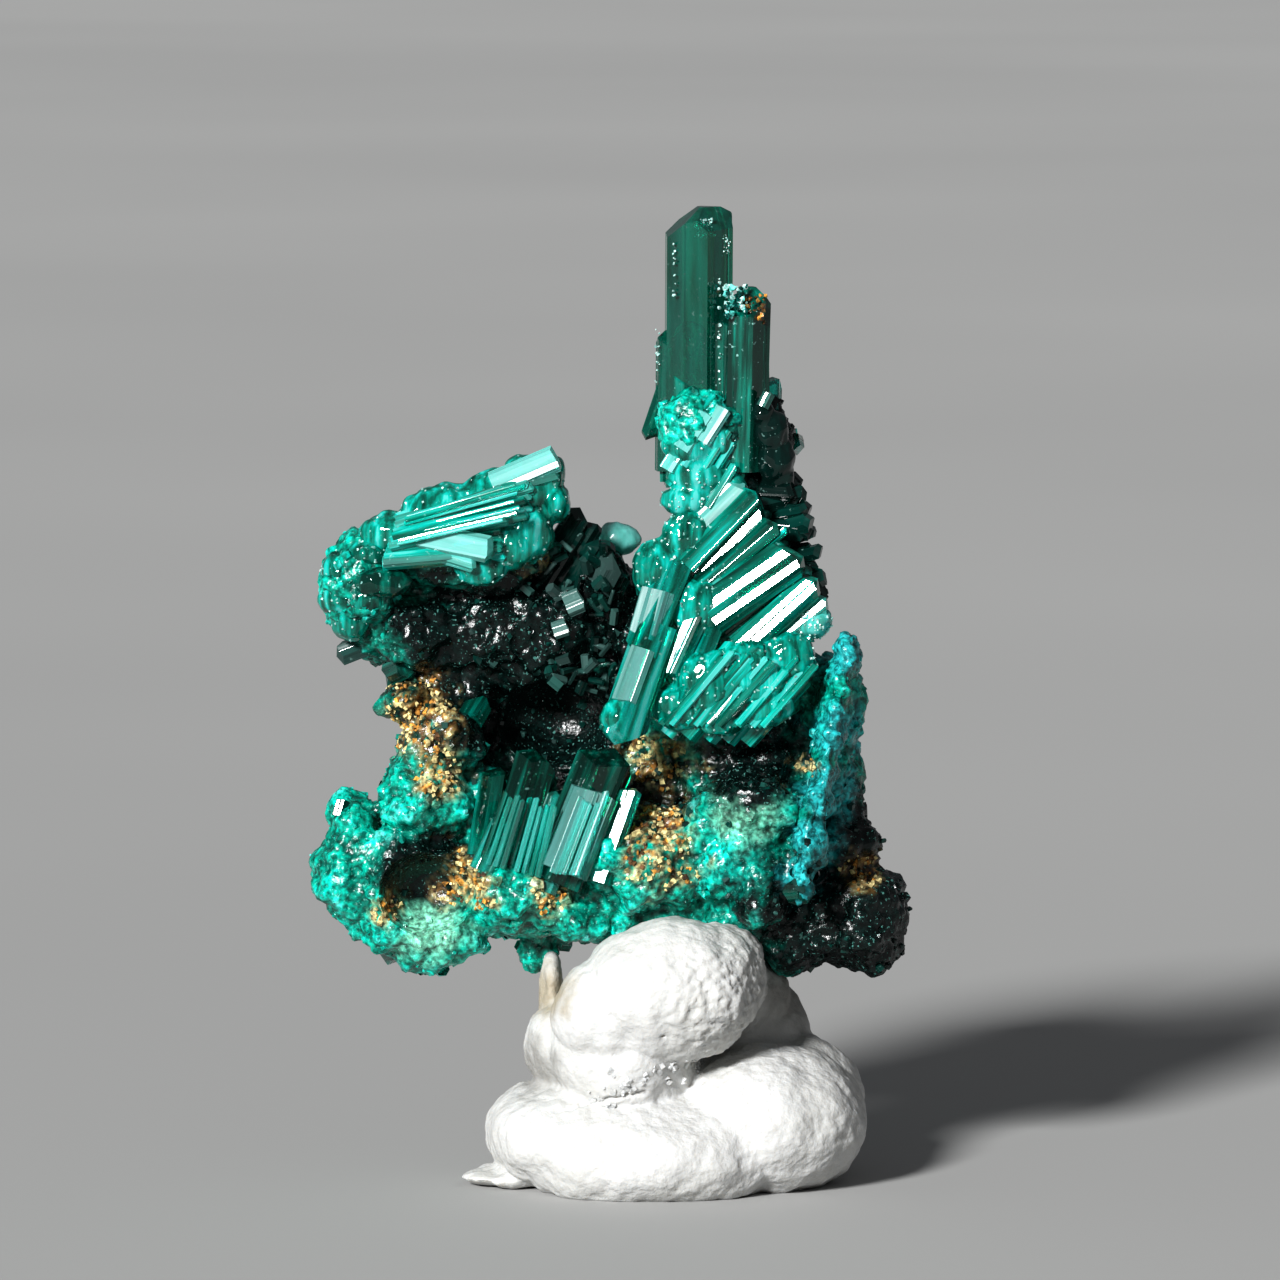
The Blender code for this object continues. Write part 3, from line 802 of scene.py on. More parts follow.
def finish_piece(obj, made, smooth=False):
    """Gives a piece its material and real size, and fixes it to the body."""
    obj.data.materials.clear()
    obj.data.materials.append(made)
    obj.data.transform(Matrix.Scale(METRES, 4))
    if smooth:
        obj.data.shade_smooth()
    obj.data.update()
    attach(obj, "root")
    return obj


MATRIX_VOXEL = 0.16


def displace(obj, swell_at):
    """Moves each point out along its normal by what swell_at says for its place."""
    mesh = obj.data
    mesh.update()
    count = len(mesh.vertices) * 3
    places, normals = np.empty(count), np.empty(count)
    mesh.vertices.foreach_get("co", places)
    mesh.vertices.foreach_get("normal", normals)
    swell = np.array([swell_at(Vector(place)) for place in places.reshape(-1, 3)])
    places += normals * np.repeat(swell, 3)
    mesh.vertices.foreach_set("co", places)
    mesh.update()
    return swell


CRINKLED = Vector((4.4, 7.4))  # middle of the crinkled part of the putty, in the front view
DOME = 0.5  # how wide the matrix's rounded grains are


def dome_height(point):
    """Low rounded grains of uneven shape, high in the middle and low where they meet."""
    warped = point / DOME + 0.45 * noise.noise_vector(point / 0.8)
    near, _ = noise.voronoi(warped)
    return 0.45 - near[0]


def craggy(point):
    swell = 0.45 * noise.fractal(point / 1.6, 0.8, 2.1, 3)
    swell += 0.26 * dome_height(point)
    return swell + 0.07 * noise.fractal(point / 0.4 + Vector((5, 5, 5)), 0.9, 2.0, 2)


def knobbly(point):
    return 0.11 * noise.fractal(point / 0.7, 0.8, 2.1, 2) + 0.03 * dome_height(point)


def in_view(point):
    """Where the front view shows a point, as (right, up)."""
    return Vector((point.x, (point.z + point.y * math.tan(VIEW_TILT)) * math.cos(VIEW_TILT)))


def kneaded(point):
    """Soft unevenness, sharper crinkles on the rolled end's right side, and the crack."""
    spot = in_view(point)
    swell = 0.2 * noise.fractal(point / 2.5, 0.8, 2.1, 3) + 0.05 * noise.fractal(point / 0.6, 0.9, 2.0, 3)
    crinkled = clamp(1.5 - (spot - CRINKLED).length / 2.2) if point.y < -1 else 0.0
    wavy = point + 0.5 * noise.noise_vector(point / 1.2)
    folds = abs(noise.noise(Vector((wavy.x + 0.8 * wavy.z, wavy.y, wavy.z - 0.8 * wavy.x)) / 0.55))
    swell -= 0.22 * crinkled * clamp(0.5 - 2.5 * folds)
    swell += 0.07 * crinkled * noise.fractal(point / 0.3, 0.9, 2.0, 2)
    start, end = CRACK
    share = clamp((spot - start).dot(end - start) / (end - start).length_squared)
    away = (spot - start.lerp(end, share)).length + 0.08 * noise.noise(point / 0.4)
    if point.y < -1:
        swell -= CRACK_DEPTH * clamp(1 - away / CRACK_WIDTH)
    return swell


def putty_tint(point):
    """White, with a beige strip partly painted shade, and painted grey shade on its left edge and on the lobe behind.
    """
    spot = in_view(point)
    colour = TINTS["white"]
    for patch in PUTTY_PATCHES:
        away = (spot - Vector((patch.right, patch.up))).length / patch.reach
        share = clamp(1.5 - 1.3 * away + 0.5 * noise.fractal(point / 0.8, 0.9, 2.0, 3))
        colour = mix(colour, TINTS[patch.kind], share)
    return colour


# The relief that the matrix tint follows: painted shade in its gaps, painted highlight on its ridges.
def height_at(point):
    return 0.9 * dome_height(point) + 0.6 * noise.fractal(point / 1.6, 0.8, 2.1, 3)


def paint(obj, tint_at):
    """Writes a colour on each of the mesh's points."""
    layer = obj.data.attributes.new("tint", "FLOAT_VECTOR", "POINT")
    values = []
    for vertex in obj.data.vertices:
        values.extend(tint_at(vertex.co))
    layer.data.foreach_set("vector", values)


def make_rock():
    steps = [number / (WALL_LUMPS - 1) for number in range(WALL_LUMPS)]
    wall = [Lump(*between((WALL_TOP, WALL_FOOT), step), WALL_RADII) for step in steps]
    rock = lump_body("matrix_rock", MATRIX + SEAT + wall, 0.0, MATRIX_VOXEL)
    displace(rock, craggy)
    hollows = [lump_body("hollow", [hollow], 0.0, MATRIX_VOXEL) for hollow in HOLLOWS]
    combine(rock, "DIFFERENCE", hollows)
    paint(rock, lambda point: rock_tint(point, height_at(point)))
    return rock


def up_in_view(point):
    return (point.z + point.y * math.tan(VIEW_TILT)) * math.cos(VIEW_TILT)


def prism_shape(radius, length, dice):
    """Thirteen points of a small six-sided crystal along +Z."""
    low = max(0.2, 1 - POINT_RISE * radius / length)
    high = (1 + low) / 2
    points = []
    for level in ("foot", "shoulder"):
        for corner in range(6):
            angle = corner * math.pi / 3
            top = 0 if level == "foot" else (high if corner % 2 == 0 else low)
            points.append((radius * math.cos(angle), radius * math.sin(angle), top * length))
    return points + [(0, 0, length)]


PRISM_FACES = [(c, (c + 1) % 6, 6 + (c + 1) % 6, 6 + c) for c in range(6)]
PRISM_FACES += [(6 + (c - 1) % 6, 6 + c, 6 + (c + 1) % 6, 12) for c in (1, 3, 5)]


def crumb_shape(radius, length, dice):
    """A small blunt crumb: a cube with its corners pulled about."""
    points = []
    for z in (0, length):
        for x, y in ((-1, -1), (1, -1), (1, 1), (-1, 1)):
            jitter = [dice.uniform(-0.35, 0.35) * radius for _ in range(3)]
            points.append((x * radius + jitter[0], y * radius + jitter[1], z + jitter[2]))
    return points


CRUMB_FACES = [(0, 1, 5, 4), (1, 2, 6, 5), (2, 3, 7, 6), (3, 0, 4, 7), (4, 5, 6, 7)]
CRUMB_FOOT = [(3, 2, 1, 0)]


def ridge_tint(point):
    """The matrix colour on what stands out of it, painted lighter as a painted highlight."""
    return rock_tint(point, height_at(point) + 0.2)


def scatter(name, rock, count, keep, shape, faces_of, radii, lengths, dice, sunk=0.15, colour_of=None):
    """Many small crystals or crumbs on the rock, made as one mesh."""
    faces = [face for face in rock.data.polygons if keep(face)]
    chosen = dice.choices(faces, weights=[face.area for face in faces], k=count)
    verts, tints, sides = [], [], []
    for face in chosen:
        radius, length = dice.uniform(*radii), dice.uniform(*lengths) + sunk
        lean = Vector([dice.uniform(-0.6, 0.6) for _ in range(3)])
        out = (face.normal + lean).normalized()
        turn = Matrix.Rotation(dice.uniform(0, math.pi), 3, "Z")
        basis = out.to_track_quat("Z", "Y").to_matrix() @ turn
        root = face.center - out * sunk
        points = np.array(shape(radius, length, dice)) @ np.array(basis.transposed()) + np.array(root)
        start = len(verts) * len(points)
        verts.append(points)
        colour = (colour_of or ridge_tint)(face.center)
        tints.append(np.tile(np.array(colour) * dice.uniform(0.8, 1.3), (len(points), 1)))
        sides.extend(tuple(start + corner for corner in side) for side in faces_of)
    mesh = bpy.data.meshes.new(name)
    mesh.from_pydata(np.vstack(verts).tolist(), [], sides)
    layer = mesh.attributes.new("tint", "FLOAT_VECTOR", "POINT")
    layer.data.foreach_set("vector", np.vstack(tints).ravel())
    return new_object(name, mesh)


def crumbs_at(name, spots, dice):
    """One mesh of blunt crumbs, one for each (place, radius, tint name)."""
    verts, tints, sides = [], [], []
    for place, radius, tint in spots:
        turn = Matrix.Rotation(dice.uniform(0, math.pi), 3, Vector([dice.uniform(-1, 1) for _ in range(3)]))
        corners = [turn @ Vector(corner) + place for corner in crumb_shape(radius, 2 * radius, dice)]
        sides.extend(tuple(len(verts) + corner for corner in side) for side in CRUMB_FACES + CRUMB_FOOT)
        verts.extend(corners)
        tints.extend(TINTS[tint] * len(corners))
    mesh = bpy.data.meshes.new(name)
    mesh.from_pydata(verts, [], sides)
    mesh.attributes.new("tint", "FLOAT_VECTOR", "POINT").data.foreach_set("vector", tints)
    return new_object(name, mesh)


def spots_in(dice, count, right, up, back, radii, tints):
    """Spots at random places in a box given as ranges in the front view."""
    for _ in range(count):
        place = seen(dice.uniform(*right), dice.uniform(*up), dice.uniform(*back))
        yield place, dice.uniform(*radii), dice.choice(tints)


def spire_spots(dice):
    """Pale specks inside and along the spire, and the grains on its second top."""
    yield from spots_in(dice, 60, (3.25, 3.95), (37.6, 38.4), (-0.85, -0.6), (0.012, 0.035), ("frost",))
    yield from spots_in(dice, 26, (4.3, 4.65), (36.9, 37.8), (-0.6, -0.4), (0.012, 0.03), ("frost",))
    yield from spots_in(dice, 16, (2.37, 2.43), (35.2, 37.6), (-0.95, -0.8), (0.02, 0.04), ("frost",))
    yield from spots_in(dice, 24, (4.17, 4.23), (31.7, 36.0), (-1.0, -0.9), (0.02, 0.045), ("frost",))
    yield from spots_in(dice, 14, (1.66, 1.8), (31.0, 34.0), (-0.5, -0.3), (0.02, 0.045), ("frost",))
    for _ in range(150):
        angle = dice.uniform(0.2, 2.9)
        reach = dice.choice((0.45, 0.7, 0.95)) + dice.uniform(-0.04, 0.04)
        right, up = 3.2 + reach * math.cos(angle), 32.4 + 1.3 * reach * math.sin(angle)
        yield seen(right, up, dice.uniform(-0.5, 0.4)), dice.uniform(0.012, 0.03), "bright"
    yield from spots_in(dice, 80, (4.4, 5.3), (34.4, 35.8), (-1.45, -0.9), (0.03, 0.09), ("frost", "rime_and_ridge_highlight", "dark"))
    yield from spots_in(dice, 50, (5.2, 6.0), (34.2, 35.4), (-1.3, -0.7), (0.03, 0.08), ("brown", "ochre", "brown"))


def spire_crystals():
    return [
        placed(Crystal(
            (3.35, 27.8, 0.3), (3.4, SPIRE_TOP + SPIRE_CUT, 0.3), 1.45, 68, 1.0, SPIRE_RISE, 0.6, cut=SPIRE_CUT)),
        placed(Crystal((2.15, 28.4, 0.0), (2.2, 34.0, 0.0), 0.55, 10)),
        placed(Crystal((2.3, 32.4, 0.0), (1.35, 29.6, 0.1), 0.4, 0)),
    ]


def spire_side_crystals():
    """Deeper green crystals grown against the spire."""
    return [
        placed(Crystal((5.1, 28.4, -0.5), (5.3, 35.9, -0.5), 1.0, 16, bright=0.1, cut=0.2)),
        placed(Crystal((5.5, 28.4, 0.3), (5.45, 34.9, 0.3), 0.75, 16, bright=0.05)),
        placed(Crystal((4.5, 28.2, -0.3), (4.6, 34.8, -0.3), 0.8, 16, bright=0.1)),
        placed(Crystal((3.0, 27.9, -0.2), (3.0, 32.9, -0.2), 0.8, 40, bright=0.3)),
        placed(Crystal((2.75, 28.0, 0.2), (2.6, 34.2, 0.3), 0.95, 20, bright=0.3)),
    ]


def spire_foot_crystals(dice):
    """Bright faces that slant up to the right over the rounded lumps."""
    for layer in range(3):
        low = 27.0 + 1.1 * layer
        yield from row_of_blades(
            ((2.0, low + 0.9, -1.4), (3.9, low - 0.2, -1.6)),
            ((3.3, low + 2.6, -1.7), (5.0, low + 1.6, -1.8)), 6, 0.17, dice,
            (0, 34), (0.3, 1.0), (0.0, 0.6), level=True,
        )
    yield blade((4.6, 27.6, -0.9), (5.7, 31.2), 0.6, 30, 0.1, 0.1, 1.0, 0.5, 0.7)
    yield blade((2.7, 29.2, -1.9), (3.7, 30.7), 0.4, 10, 0.95, 0.8, 0.6, 0.7, 0.3)
    yield blade((3.5, 29.5, -1.9), (4.4, 30.9), 0.34, 9, 0.9, 0.9, 0.6, 0.7, 0.3)
    yield blade((2.1, 28.4, -1.6), (2.9, 29.7), 0.34, 11, 0.95, 0.7, 0.6, 0.7, 0.3)


def right_fan_crystals(dice):
    """Silky, deep green and mirror-bright blades, from the upper left to the lower right."""
    yield blade((2.0, 25.0, -1.5), (5.1, 28.0), 0.65, 9, 0.5, 0.8, 0.8, 0.65)
    yield blade((1.6, 24.8, -1.3), (3.3, 26.6), 0.45, 12, 0.6, 0.6)
    yield blade((1.2, 23.8, -1.2), (2.8, 25.6), 0.5, 26, 0.4, 0.1)
    yield blade((2.9, 24.6, -1.9), (5.7, 27.5), 0.55, 30, 0.35, 0.0)
    yield blade((3.6, 24.3, -1.6), (6.0, 26.9), 0.6, 0, 0.3, 0.0, 0.8, 0.6)
    yield blade((3.0, 23.3, -1.8), (6.5, 26.3), 0.6, 28, 0.35, 0.0)
    yield blade((3.3, 23.0, -1.9), (6.9, 26.1), 0.2, 0, 0.4, 0.0)
    yield blade((3.8, 22.7, -2.1), (7.4, 25.2), 0.95, 0, 0.35, 0.0, 0.7, 0.75)
    yield blade((4.4, 22.0, -1.7), (7.8, 24.6), 0.5, 25, 0.4, 0.0)
    yield blade((5.0, 21.3, -2.2), (8.1, 24.1), 0.65, 1, 0.4, 0.0, 0.8, 0.65)
    yield blade((5.4, 20.9, -1.8), (8.5, 23.3), 0.5, 6, 0.6, 0.5)
    yield blade((2.2, 23.6, -1.5), (4.6, 25.8), 0.6, 26, 0.25, 0.0)
    yield blade((1.6, 23.2, -1.4), (3.4, 25.0), 0.5, 24, 0.45, 0.1)
    yield blade((2.4, 22.2, -1.9), (4.6, 24.2), 0.5, 16, 0.5, 0.4)
    yield blade((3.0, 21.4, -1.9), (5.2, 23.2), 0.6, 26, 0.2, 0.1)
    yield from row_of_blades(
        ((1.6, 25.4, -1.7), (3.4, 22.6, -2.2)), ((4.2, 27.8, -2.0), (5.8, 24.8, -2.3)), 9, 0.11, dice,
        (-10, 34), (0.2, 0.9), (0.0, 0.3), level=True,
    )


def lower_fan_crystals(dice):
    roots = ((1.7, 18.0, -2.2), (5.6, 17.6, -1.8))
    tips = ((5.0, 21.9, -2.7), (8.3, 20.6, -2.2))
    yield from row_of_blades(roots, tips, 5, 0.5, dice, (16, 34), (0.5, 0.9), (0.0, 0.2))
    yield from row_of_blades(
        ((1.9, 18.3, -2.9), (5.6, 18.3, -2.9)), ((4.6, 21.4, -3.1), (7.8, 20.8, -2.8)), 9, 0.12, dice,
        (-8, 30), (0.4, 0.9), (0.0, 0.3), level=True,
    )
    yield from row_of_blades(
        ((1.8, 18.3, -3.0), (6.0, 18.2, -2.8)), ((4.2, 21.2, -3.3), (8.1, 20.6, -2.8)), 22, 0.17, dice,
        (12, 40), (0.45, 1.0), (0.0, 0.2),
    )
    yield blade((3.6, 18.6, -2.6), (5.0, 20.9), 0.2, 0, 0.7, 0.1)
    yield blade((6.8, 20.3, -2.2), (7.8, 21.8), 0.2, 0, 0.7, 0.1)


def upper_left_crystals(dice):
    """Thin streaks that open to the right from the left end, with a few broad silky faces."""
    yield blade((-4.8, 27.8, -1.9), (-2.2, 28.9), 0.55, 10, 0.8, 0.9, 0.6, 0.7, 0.3)
    yield blade((-8.2, 25.9, -2.6), (-4.8, 25.2), 0.55, 10, 0.75, 0.9, 0.6, 0.7, 0.4)
    yield blade((-8.0, 25.4, -2.5), (-5.4, 24.6), 0.35, 10, 0.8, 0.6)
    for layer in range(3):
        near = -1.9 - 0.35 * layer
        yield from row_of_blades(
            ((-8.6, 26.5 - 0.2 * layer, near), (-9.2, 24.6, near - 0.2)),
            ((-2.3 - 0.9 * layer, 28.4 - 0.3 * layer, near), (-3.2 - 0.6 * layer, 24.9, near - 0.3)),
            20, 0.22, dice, (8, 36), (0.4, 1.0), (0.0, 0.5),
        )
    yield from row_of_blades(
        ((-8.2, 26.6, -2.6), (-8.6, 25.4, -3.0)), ((-3.4, 28.0, -2.8), (-4.0, 26.4, -3.2)), 9, 0.1, dice,
        (-14, 14), (0.5, 0.95), (0.0, 0.3), level=True,
    )
    for _ in range(14):
        angle = dice.uniform(2.0, 4.3)
        root = Vector((-9.4, 24.3, -1.4)) + Vector((dice.uniform(-0.8, 1.0), dice.uniform(-1.4, 1.4), 0))
        reach = Vector((math.cos(angle), 0.9 * math.sin(angle), dice.uniform(-1.4, -0.4))).normalized() * 1.35
        yield blade(
            root, root + reach, dice.uniform(0.12, 0.26), dice.uniform(0, 60), dice.uniform(0.3, 0.9),
            dice.uniform(0.0, 0.4), 1.0, 0.5, 0.6,
        )


def green_tip_crystals(dice):
    yield blade((1.8, 22.2, -2.2), (0.15, 17.4, -3.3), 1.0, 30, 0.75, 0.0, 0.95)
    yield blade((2.5, 24.6, -1.6), (1.0, 20.8, -2.8), 0.85, 30, 0.65, 0.0, 0.95)
    yield blade((1.75, 23.6, -2.3), (1.2, 21.7), 0.75, 10, 0.8, 0.9, 0.6, 0.7, 0.3)
    yield blade((1.15, 21.3, -3.1), (0.35, 19.1), 0.55, 10, 0.8, 0.9, 0.6, 0.7, 0.3)
    yield blade((3.3, 22.6, -2.3), (2.2, 20.2), 0.5, 0, 0.5, 0.05, 0.8, 0.6, 0.4)
    yield blade((4.0, 22.4, -1.9), (2.6, 18.8, -3.0), 0.6, 26, 0.5, 0.1)


def lower_middle_crystals(dice):
    yield blade((-2.3, 11.9, -3.0), (-0.1, 17.4), 1.25, 35, 0.1, 0.0, 0.9)
    yield blade((-2.0, 12.4, -3.8), (-0.7, 15.7), 1.0, 10, 0.85, 0.9, 0.6, 0.8, 0.2)
    yield from row_of_blades(
        ((-2.5, 12.4, -4.4), (-1.4, 12.3, -4.6)), ((-1.3, 15.5, -4.8), (-0.2, 15.6, -5.0)), 6, 0.14, dice,
        (15, 22), (0.6, 0.95), (0.75, 0.95), level=True,
    )
    yield blade((-0.6, 12.0, -3.5), (0.7, 15.8), 0.5, 0, 0.5, 0.0, 0.8, 0.6, 0.5)
    yield blade((0.1, 13.4, -3.3), (0.9, 15.7), 0.25, 3, 0.6, 0.1)
    yield blade((-4.2, 12.6, -2.4), (-2.9, 17.2), 1.0, 34, 0.15, 0.0, 0.9)
    yield blade((-3.4, 12.4, -2.9), (-2.2, 15.6), 0.4, 24, 0.55, 0.3)
    yield blade((-5.3, 13.0, -2.2), (-4.7, 16.6), 0.6, 30, 0.2, 0.0)
    yield blade((-5.2, 12.4, -2.8), (-4.2, 14.6), 0.6, 24, 0.6, 0.3)
    yield blade((-2.7, 11.6, -3.3), (-2.0, 13.4), 0.4, 14, 0.6, 0.4)
    yield from row_of_blades(
        ((-5.4, 12.8, -3.0), (-2.9, 12.2, -3.5)), ((-4.4, 15.6, -3.2), (-2.2, 15.2, -3.8)), 9, 0.12, dice,
        (4, 34), (0.3, 0.9), (0.0, 0.5),
    )


def dark_edge_crystals(dice):
    """Stubby dark crystals in knots down the right edge, and the ridge above them; their black-green is partly painted
    shade.
    """
    roots = ((5.6, 27.6, 0.2), (6.6, 22.8, 0.2))
    tips = ((7.6, 28.0, -0.2), (8.8, 22.6, -0.2))
    for number in range(26):
        share = number / 25
        root = between(roots, share) + Vector((dice.uniform(-0.3, 0.3), 0, dice.uniform(-1.2, 0.8)))
        tip = between(tips, share) + Vector((0, dice.uniform(-0.7, 0.7), dice.uniform(-1.2, 0.8)))
        tip = root.lerp(tip, dice.uniform(0.8, 1.05))
        yield blade(root, tip, dice.uniform(0.28, 0.5), dice.uniform(0, 60), dice.uniform(0.0, 0.5), 0.1, 1.0)
    for _ in range(22):
        angle = dice.uniform(-0.5, 0.9)
        root = Vector((5.9, dice.uniform(28.0, 30.0), dice.uniform(-0.6, 1.0)))
        tip = root + Vector((math.cos(angle), math.sin(angle), dice.uniform(-0.8, 0.2)))
        yield blade(root, tip, dice.uniform(0.2, 0.42), dice.uniform(0, 60), dice.uniform(0.0, 0.3), 0.1, 1.0)
    yield blade((5.9, 30.9, -1.5), (6.2, 31.5), 0.26, 0, 1.0, 0.1, 1.0, 0.6, 0.3)


def notch_crystals_of(dice):
    """Black blocky crystals in the notch, a few of them with bright faces; their black is partly painted shade of the
    notch.
    """
    roots = ((-3.6, 23.6, 0.6), (-0.4, 22.8, 0.4))
    tips = ((-1.4, 27.0, -0.2), (0.5, 24.6, -0.2))
    yield from row_of_blades(roots, tips, 8, 0.55, dice, (0, 60), (0.0, 0.3), flat=1.0)
    yield blade((-1.9, 23.0, -1.4), (-1.2, 23.3), 0.5, 11, 0.9, 0.6, 0.6, 0.7, 0.3)
    yield blade((-2.4, 22.0, -1.4), (-1.8, 22.2), 0.36, 10, 0.9, 0.6, 0.6, 0.7, 0.3)
    for _ in range(70):
        right, up = dice.uniform(-3.8, 0.0), dice.uniform(19.6, 25.4)
        angle = dice.uniform(0, 2 * math.pi)
        reach = Vector((0.3 * math.cos(angle), 0.3 * math.sin(angle), 0))
        middle = Vector((right, up, dice.uniform(-1.1, -0.5)))
        lean = Vector((0, 0, dice.uniform(-0.3, 0.3)))
        yield blade(
            middle - reach - lean, middle + reach + lean, dice.uniform(0.07, 0.24), dice.uniform(-60, 60),
            dice.uniform(0.0, 0.7), dice.uniform(0.0, 0.5), 1.0, 0.6, 0.4,
        )
    yield blade((-8.8, 21.9, -0.6), (-11.1, 21.0), 0.5, 7, 0.3, 0.3)
    yield blade((-11.0, 14.6, -1.6), (-10.8, 15.3), 0.28, 0, 0.5, 0.1, 1.0, 0.6, 0.3)


def scattered_crystals(rock, dice, count, keep, radii, lengths, bright):
    """Medium crystals standing out of the rock."""
    faces = [face for face in rock.data.polygons if keep(face)]
    for face in dice.choices(faces, weights=[face.area for face in faces], k=count):
        lean = Vector([dice.uniform(-0.4, 0.4) for _ in range(3)])
        out = (face.normal + lean).normalized()
        yield Crystal(
            face.center - out * 0.5, face.center + out * dice.uniform(*lengths), dice.uniform(*radii),
            dice.uniform(0, 60), 1.0, POINT_RISE, 0.5, dice.uniform(*bright), dice.uniform(0, 0.4),
        )


def make_cluster():
    dice = random.Random(SEED)
    rock = make_rock()
    greens = [
        (0.0, (0.0, 0.05, 0.035)), (0.35, (0.0, 0.20, 0.14)), (0.62, (0.0, 0.46, 0.35)),
        (0.85, (0.0, 0.80, 0.68)), (1.0, (0.15, 0.93, 0.85)),
    ]
    clear = crystal_material("emerald_clear", 15000.0, [(0.0, (0.0, 0.15, 0.10)), (1.0, (0.0, 0.70, 0.51))], 0.88, 0.9)
    silky = crystal_material("emerald_silky", 9000.0, greens, 0.5)
    glass = crystal_material("emerald_glass", 9000.0, greens, 0.75)
    # Black-green crystal: partly the crystals' own dark colour, partly painted shade where they lie in shadow; its
    # grey-green flecks are painted sparkle and its silky faces get a painted grey sheen.
    black = crystal_material(
        "black_green", 5000.0,
        [(0.0, (0.002, 0.012, 0.01)), (0.5, (0.003, 0.04, 0.032)), (1.0, (0.03, 0.12, 0.10))],
        0.0, 0.4, (0.12, 0.22, 0.2), 0.3, (0.14, 0.22, 0.21),
    )

    def crystal_piece(name, made, listed, riders=0, steps=STRIAE):
        finish_piece(union(name, crystals_of(listed, dice, riders, steps)), made)

    crystal_piece("spire", clear, spire_crystals())
    crystal_piece("spire_side", silky, spire_side_crystals())
    crystal_piece("spire_foot", silky, spire_foot_crystals(dice), 1)
    crystal_piece("right_fan", silky, right_fan_crystals(dice))
    crystal_piece("lower_fan", silky, lower_fan_crystals(dice))
    crystal_piece("upper_left_fan", silky, upper_left_crystals(dice))
    crystal_piece("green_tips", glass, green_tip_crystals(dice), 0)
    crystal_piece("lower_middle", glass, lower_middle_crystals(dice))
    crystal_piece("dark_edge", black, dark_edge_crystals(dice))
    crystal_piece("notch_crystals", black, notch_crystals_of(dice))
    druse = tinted_material("druse", 0.2, 0.0, glow=0.4)
    for name, (bright, lumps) in ROUNDED.items():
        body = rounded_body(name, bright, lumps, dice)
        if name in SPECKLED:
            finish_piece(scatter(
                name + "_specks", body, SPECKS_EACH, lambda face: face.normal.y < 0.0, crumb_shape, CRUMB_FACES,
                (0.015, 0.05), (0.01, 0.07), dice, 0.03, lambda point: TINTS["frost"]), druse)
        finish_piece(body, silky, smooth=True)
    finish_piece(rounded_body("dark_ridge", 0.0, RIDGE, dice), black, smooth=True)

    front = (lambda face: face.normal.y < 0.25 and face.normal.z > -0.8)
    back = (lambda face: face.normal.y >= 0.45 and -10.6 < face.center.x < 8.2)
    crystal_piece("back_crystals", glass, scattered_crystals(
        rock, dice, 150, back, (0.3, 0.7), (0.5, 1.4), (0.2, 0.8)))
    # Dark crystals go where the matrix is painted black, partly as painted shade.
    crystal_piece("dark_crystals", black, scattered_crystals(
        rock, dice, 260, lambda face: front(face) and in_dark(face), (0.08, 0.22), (0.05, 0.25), (0.0, 0.7)))

    prisms = (prism_shape, PRISM_FACES)
    finish_piece(scatter(
        "druse_front", rock, 1900, front, *prisms, (0.05, 0.14), (0.0, 0.12), dice), druse)
    finish_piece(scatter(
        "blunt_crystals", rock, 130, front, *prisms, (0.15, 0.32), (0.02, 0.25), dice, 0.3), druse)
    finish_piece(scatter(
        "druse_back", rock, 3600, back, *prisms, (0.12, 0.32), (0.05, 0.35), dice), druse)
    finish_piece(crumbs_at("spire_specks", spire_spots(dice), dice), druse)
    earth = tinted_material("earthy_grains", 0.7, fleck=(0.2, 0.15, 0.06))
    stained = [face for face in rock.data.polygons if kind_weights(face.center)["ochre"] > 0.45]
    stained_set = {face.index for face in stained}
    finish_piece(scatter(
        "ochre_grains", rock, 1300, lambda face: face.index in stained_set, crumb_shape, CRUMB_FACES,
        (0.03, 0.10), (0.02, 0.12), dice, 0.05, earth_tint), earth)
    finish_piece(rock, tinted_material("matrix", 0.22, glow=0.25), smooth=True)
    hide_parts("dioptase_cluster")


# Faces painted black, which is partly painted shade.
def in_dark(face):
    weights = kind_weights(face.center)
    return weights["black"] > 0.4


def earth_tint(point):
    pick = noise.cell(point / 0.3)
    if pick < 0.3:
        return TINTS["cream"]
    return TINTS["ochre"] if pick < 0.85 else TINTS["brown"]


def flatten_foot(obj):
    """Presses whatever lies below the rest surface flat onto it."""
    count = len(obj.data.vertices)
    places = np.empty(count * 3)
    obj.data.vertices.foreach_get("co", places)
    places = places.reshape(-1, 3)
    places[:, 2] = np.maximum(places[:, 2], 0.0)
    obj.data.vertices.foreach_set("co", places.ravel())
    obj.data.update()


def on_crease(point):
    """The crease under the rolled end, where crumbs of putty cling."""
    spot = in_view(point)
    away = abs(spot.y - 4.3 - 0.3 * (spot.x - 1.6)) + 0.7 * noise.noise(point / 0.5)
    return point.y < -1 and -1.0 < spot.x < 3.6 and away < 0.35


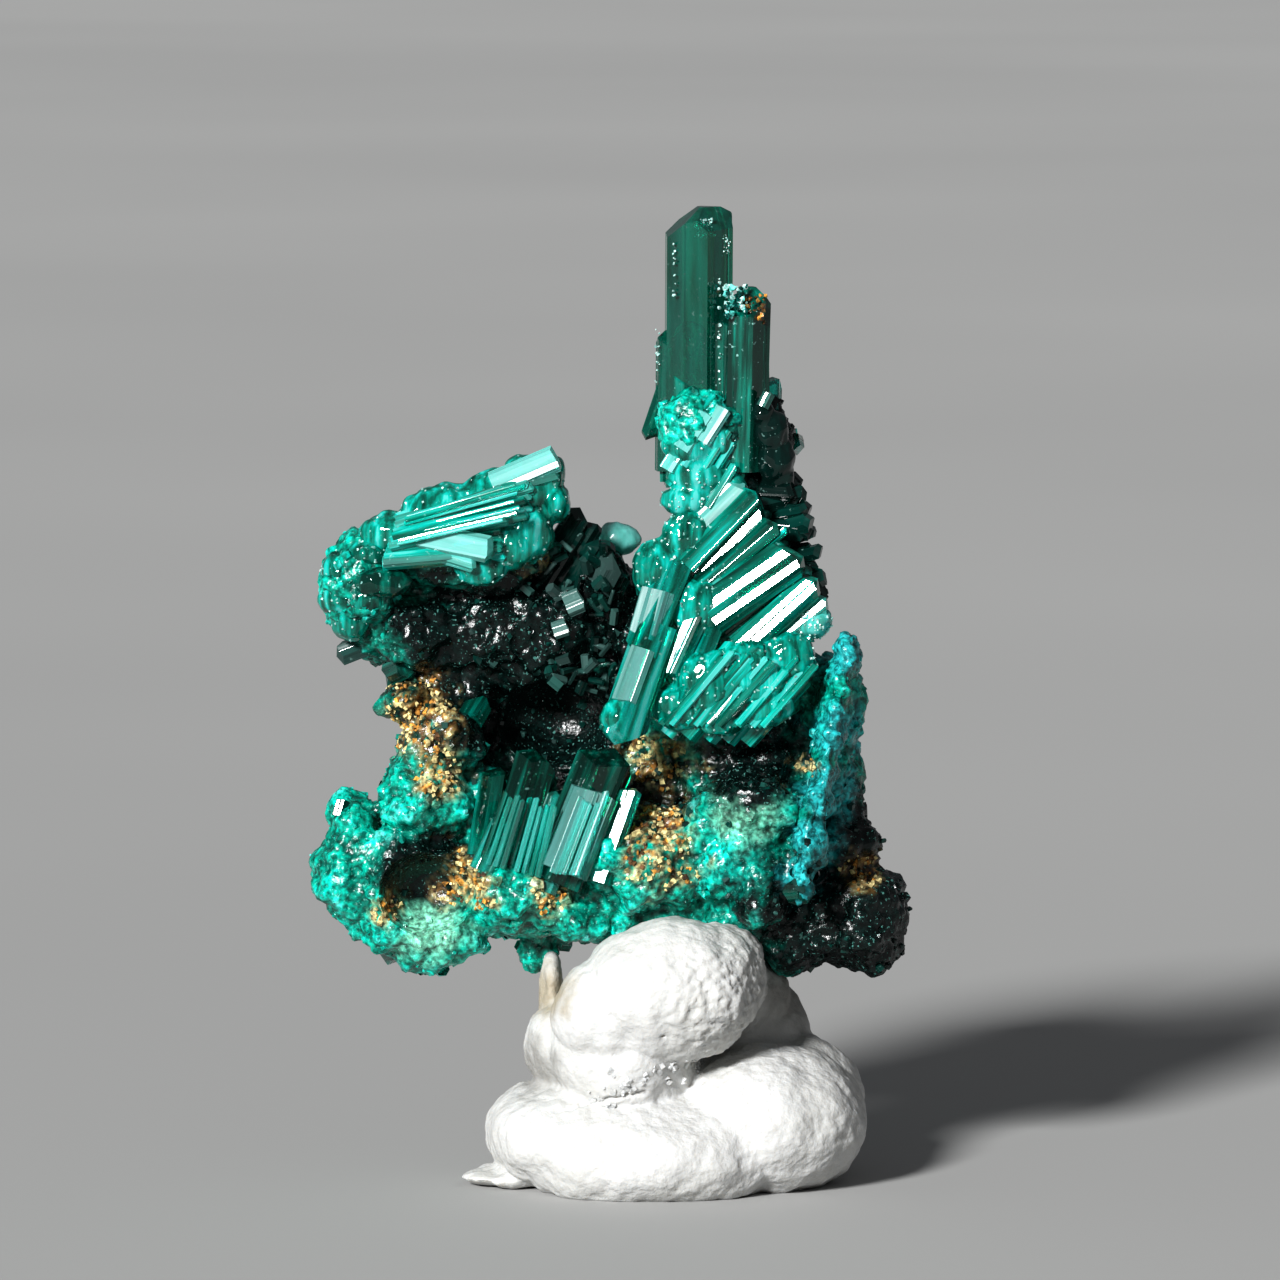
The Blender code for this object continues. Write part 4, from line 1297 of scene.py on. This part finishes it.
def make_putty():
    putty = lump_body("kneaded_putty", PUTTY, 0.0, PUTTY_VOXEL)
    displace(putty, kneaded)
    combine(putty, "DIFFERENCE", [lump_body("pit", [pit], 0.0, 0.03) for pit in PITS])
    flatten_foot(putty)
    paint(putty, putty_tint)
    dice = random.Random(SEED + 1)
    crumbs = scatter(
        "putty_crumbs", putty, 70, lambda face: on_crease(face.center), crumb_shape, CRUMB_FACES,
        (0.04, 0.12), (0.0, 0.12), dice, 0.08, putty_tint)
    made = putty_material()
    finish_piece(crumbs, made)
    finish_piece(putty, made, smooth=True)
    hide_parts("mounting_putty")


# Stage, light and camera

CAMERA_AWAY = 0.400
FRAME_WIDTH = 0.0512
AIM = Vector((1.04, 0, 21.76)) * METRES
SENSOR = 36.0


def make_stage():
    bm = bmesh.new()
    bmesh.ops.create_grid(bm, x_segments=1, y_segments=1, size=2.5)
    floor = object_of("tabletop", bm)
    floor.data.materials.append(floor_material())


def make_light():
    sun = bpy.data.lights.new("key", "SUN")
    sun.energy = 5.2
    sun.angle = math.radians(11)
    key = new_object("key", sun)
    key.rotation_mode = "QUATERNION"
    key.rotation_quaternion = KEY_FROM.to_track_quat("Z", "Y")
    world = bpy.data.worlds.new("studio")
    bpy.context.scene.world = world
    world.use_nodes = True
    world.node_tree.nodes["Background"].inputs["Color"].default_value = (0.42, 0.43, 0.45, 1)
    world.node_tree.nodes["Background"].inputs["Strength"].default_value = 0.34


def make_camera():
    data = bpy.data.cameras.new("camera")
    data.sensor_width = SENSOR
    data.lens = SENSOR * CAMERA_AWAY / FRAME_WIDTH
    data.clip_start = 0.01
    camera = new_object("camera", data)
    camera.rotation_mode = "QUATERNION"
    camera.location = AIM + VIEW_FROM * CAMERA_AWAY
    camera.rotation_quaternion = VIEW_FROM.to_track_quat("Z", "Y")
    bpy.context.scene.camera = camera
    bpy.context.scene.view_settings.view_transform = "Standard"
    bpy.context.scene.view_settings.look = "Medium High Contrast"


make_cluster()
make_putty()
make_stage()
make_light()
make_camera()
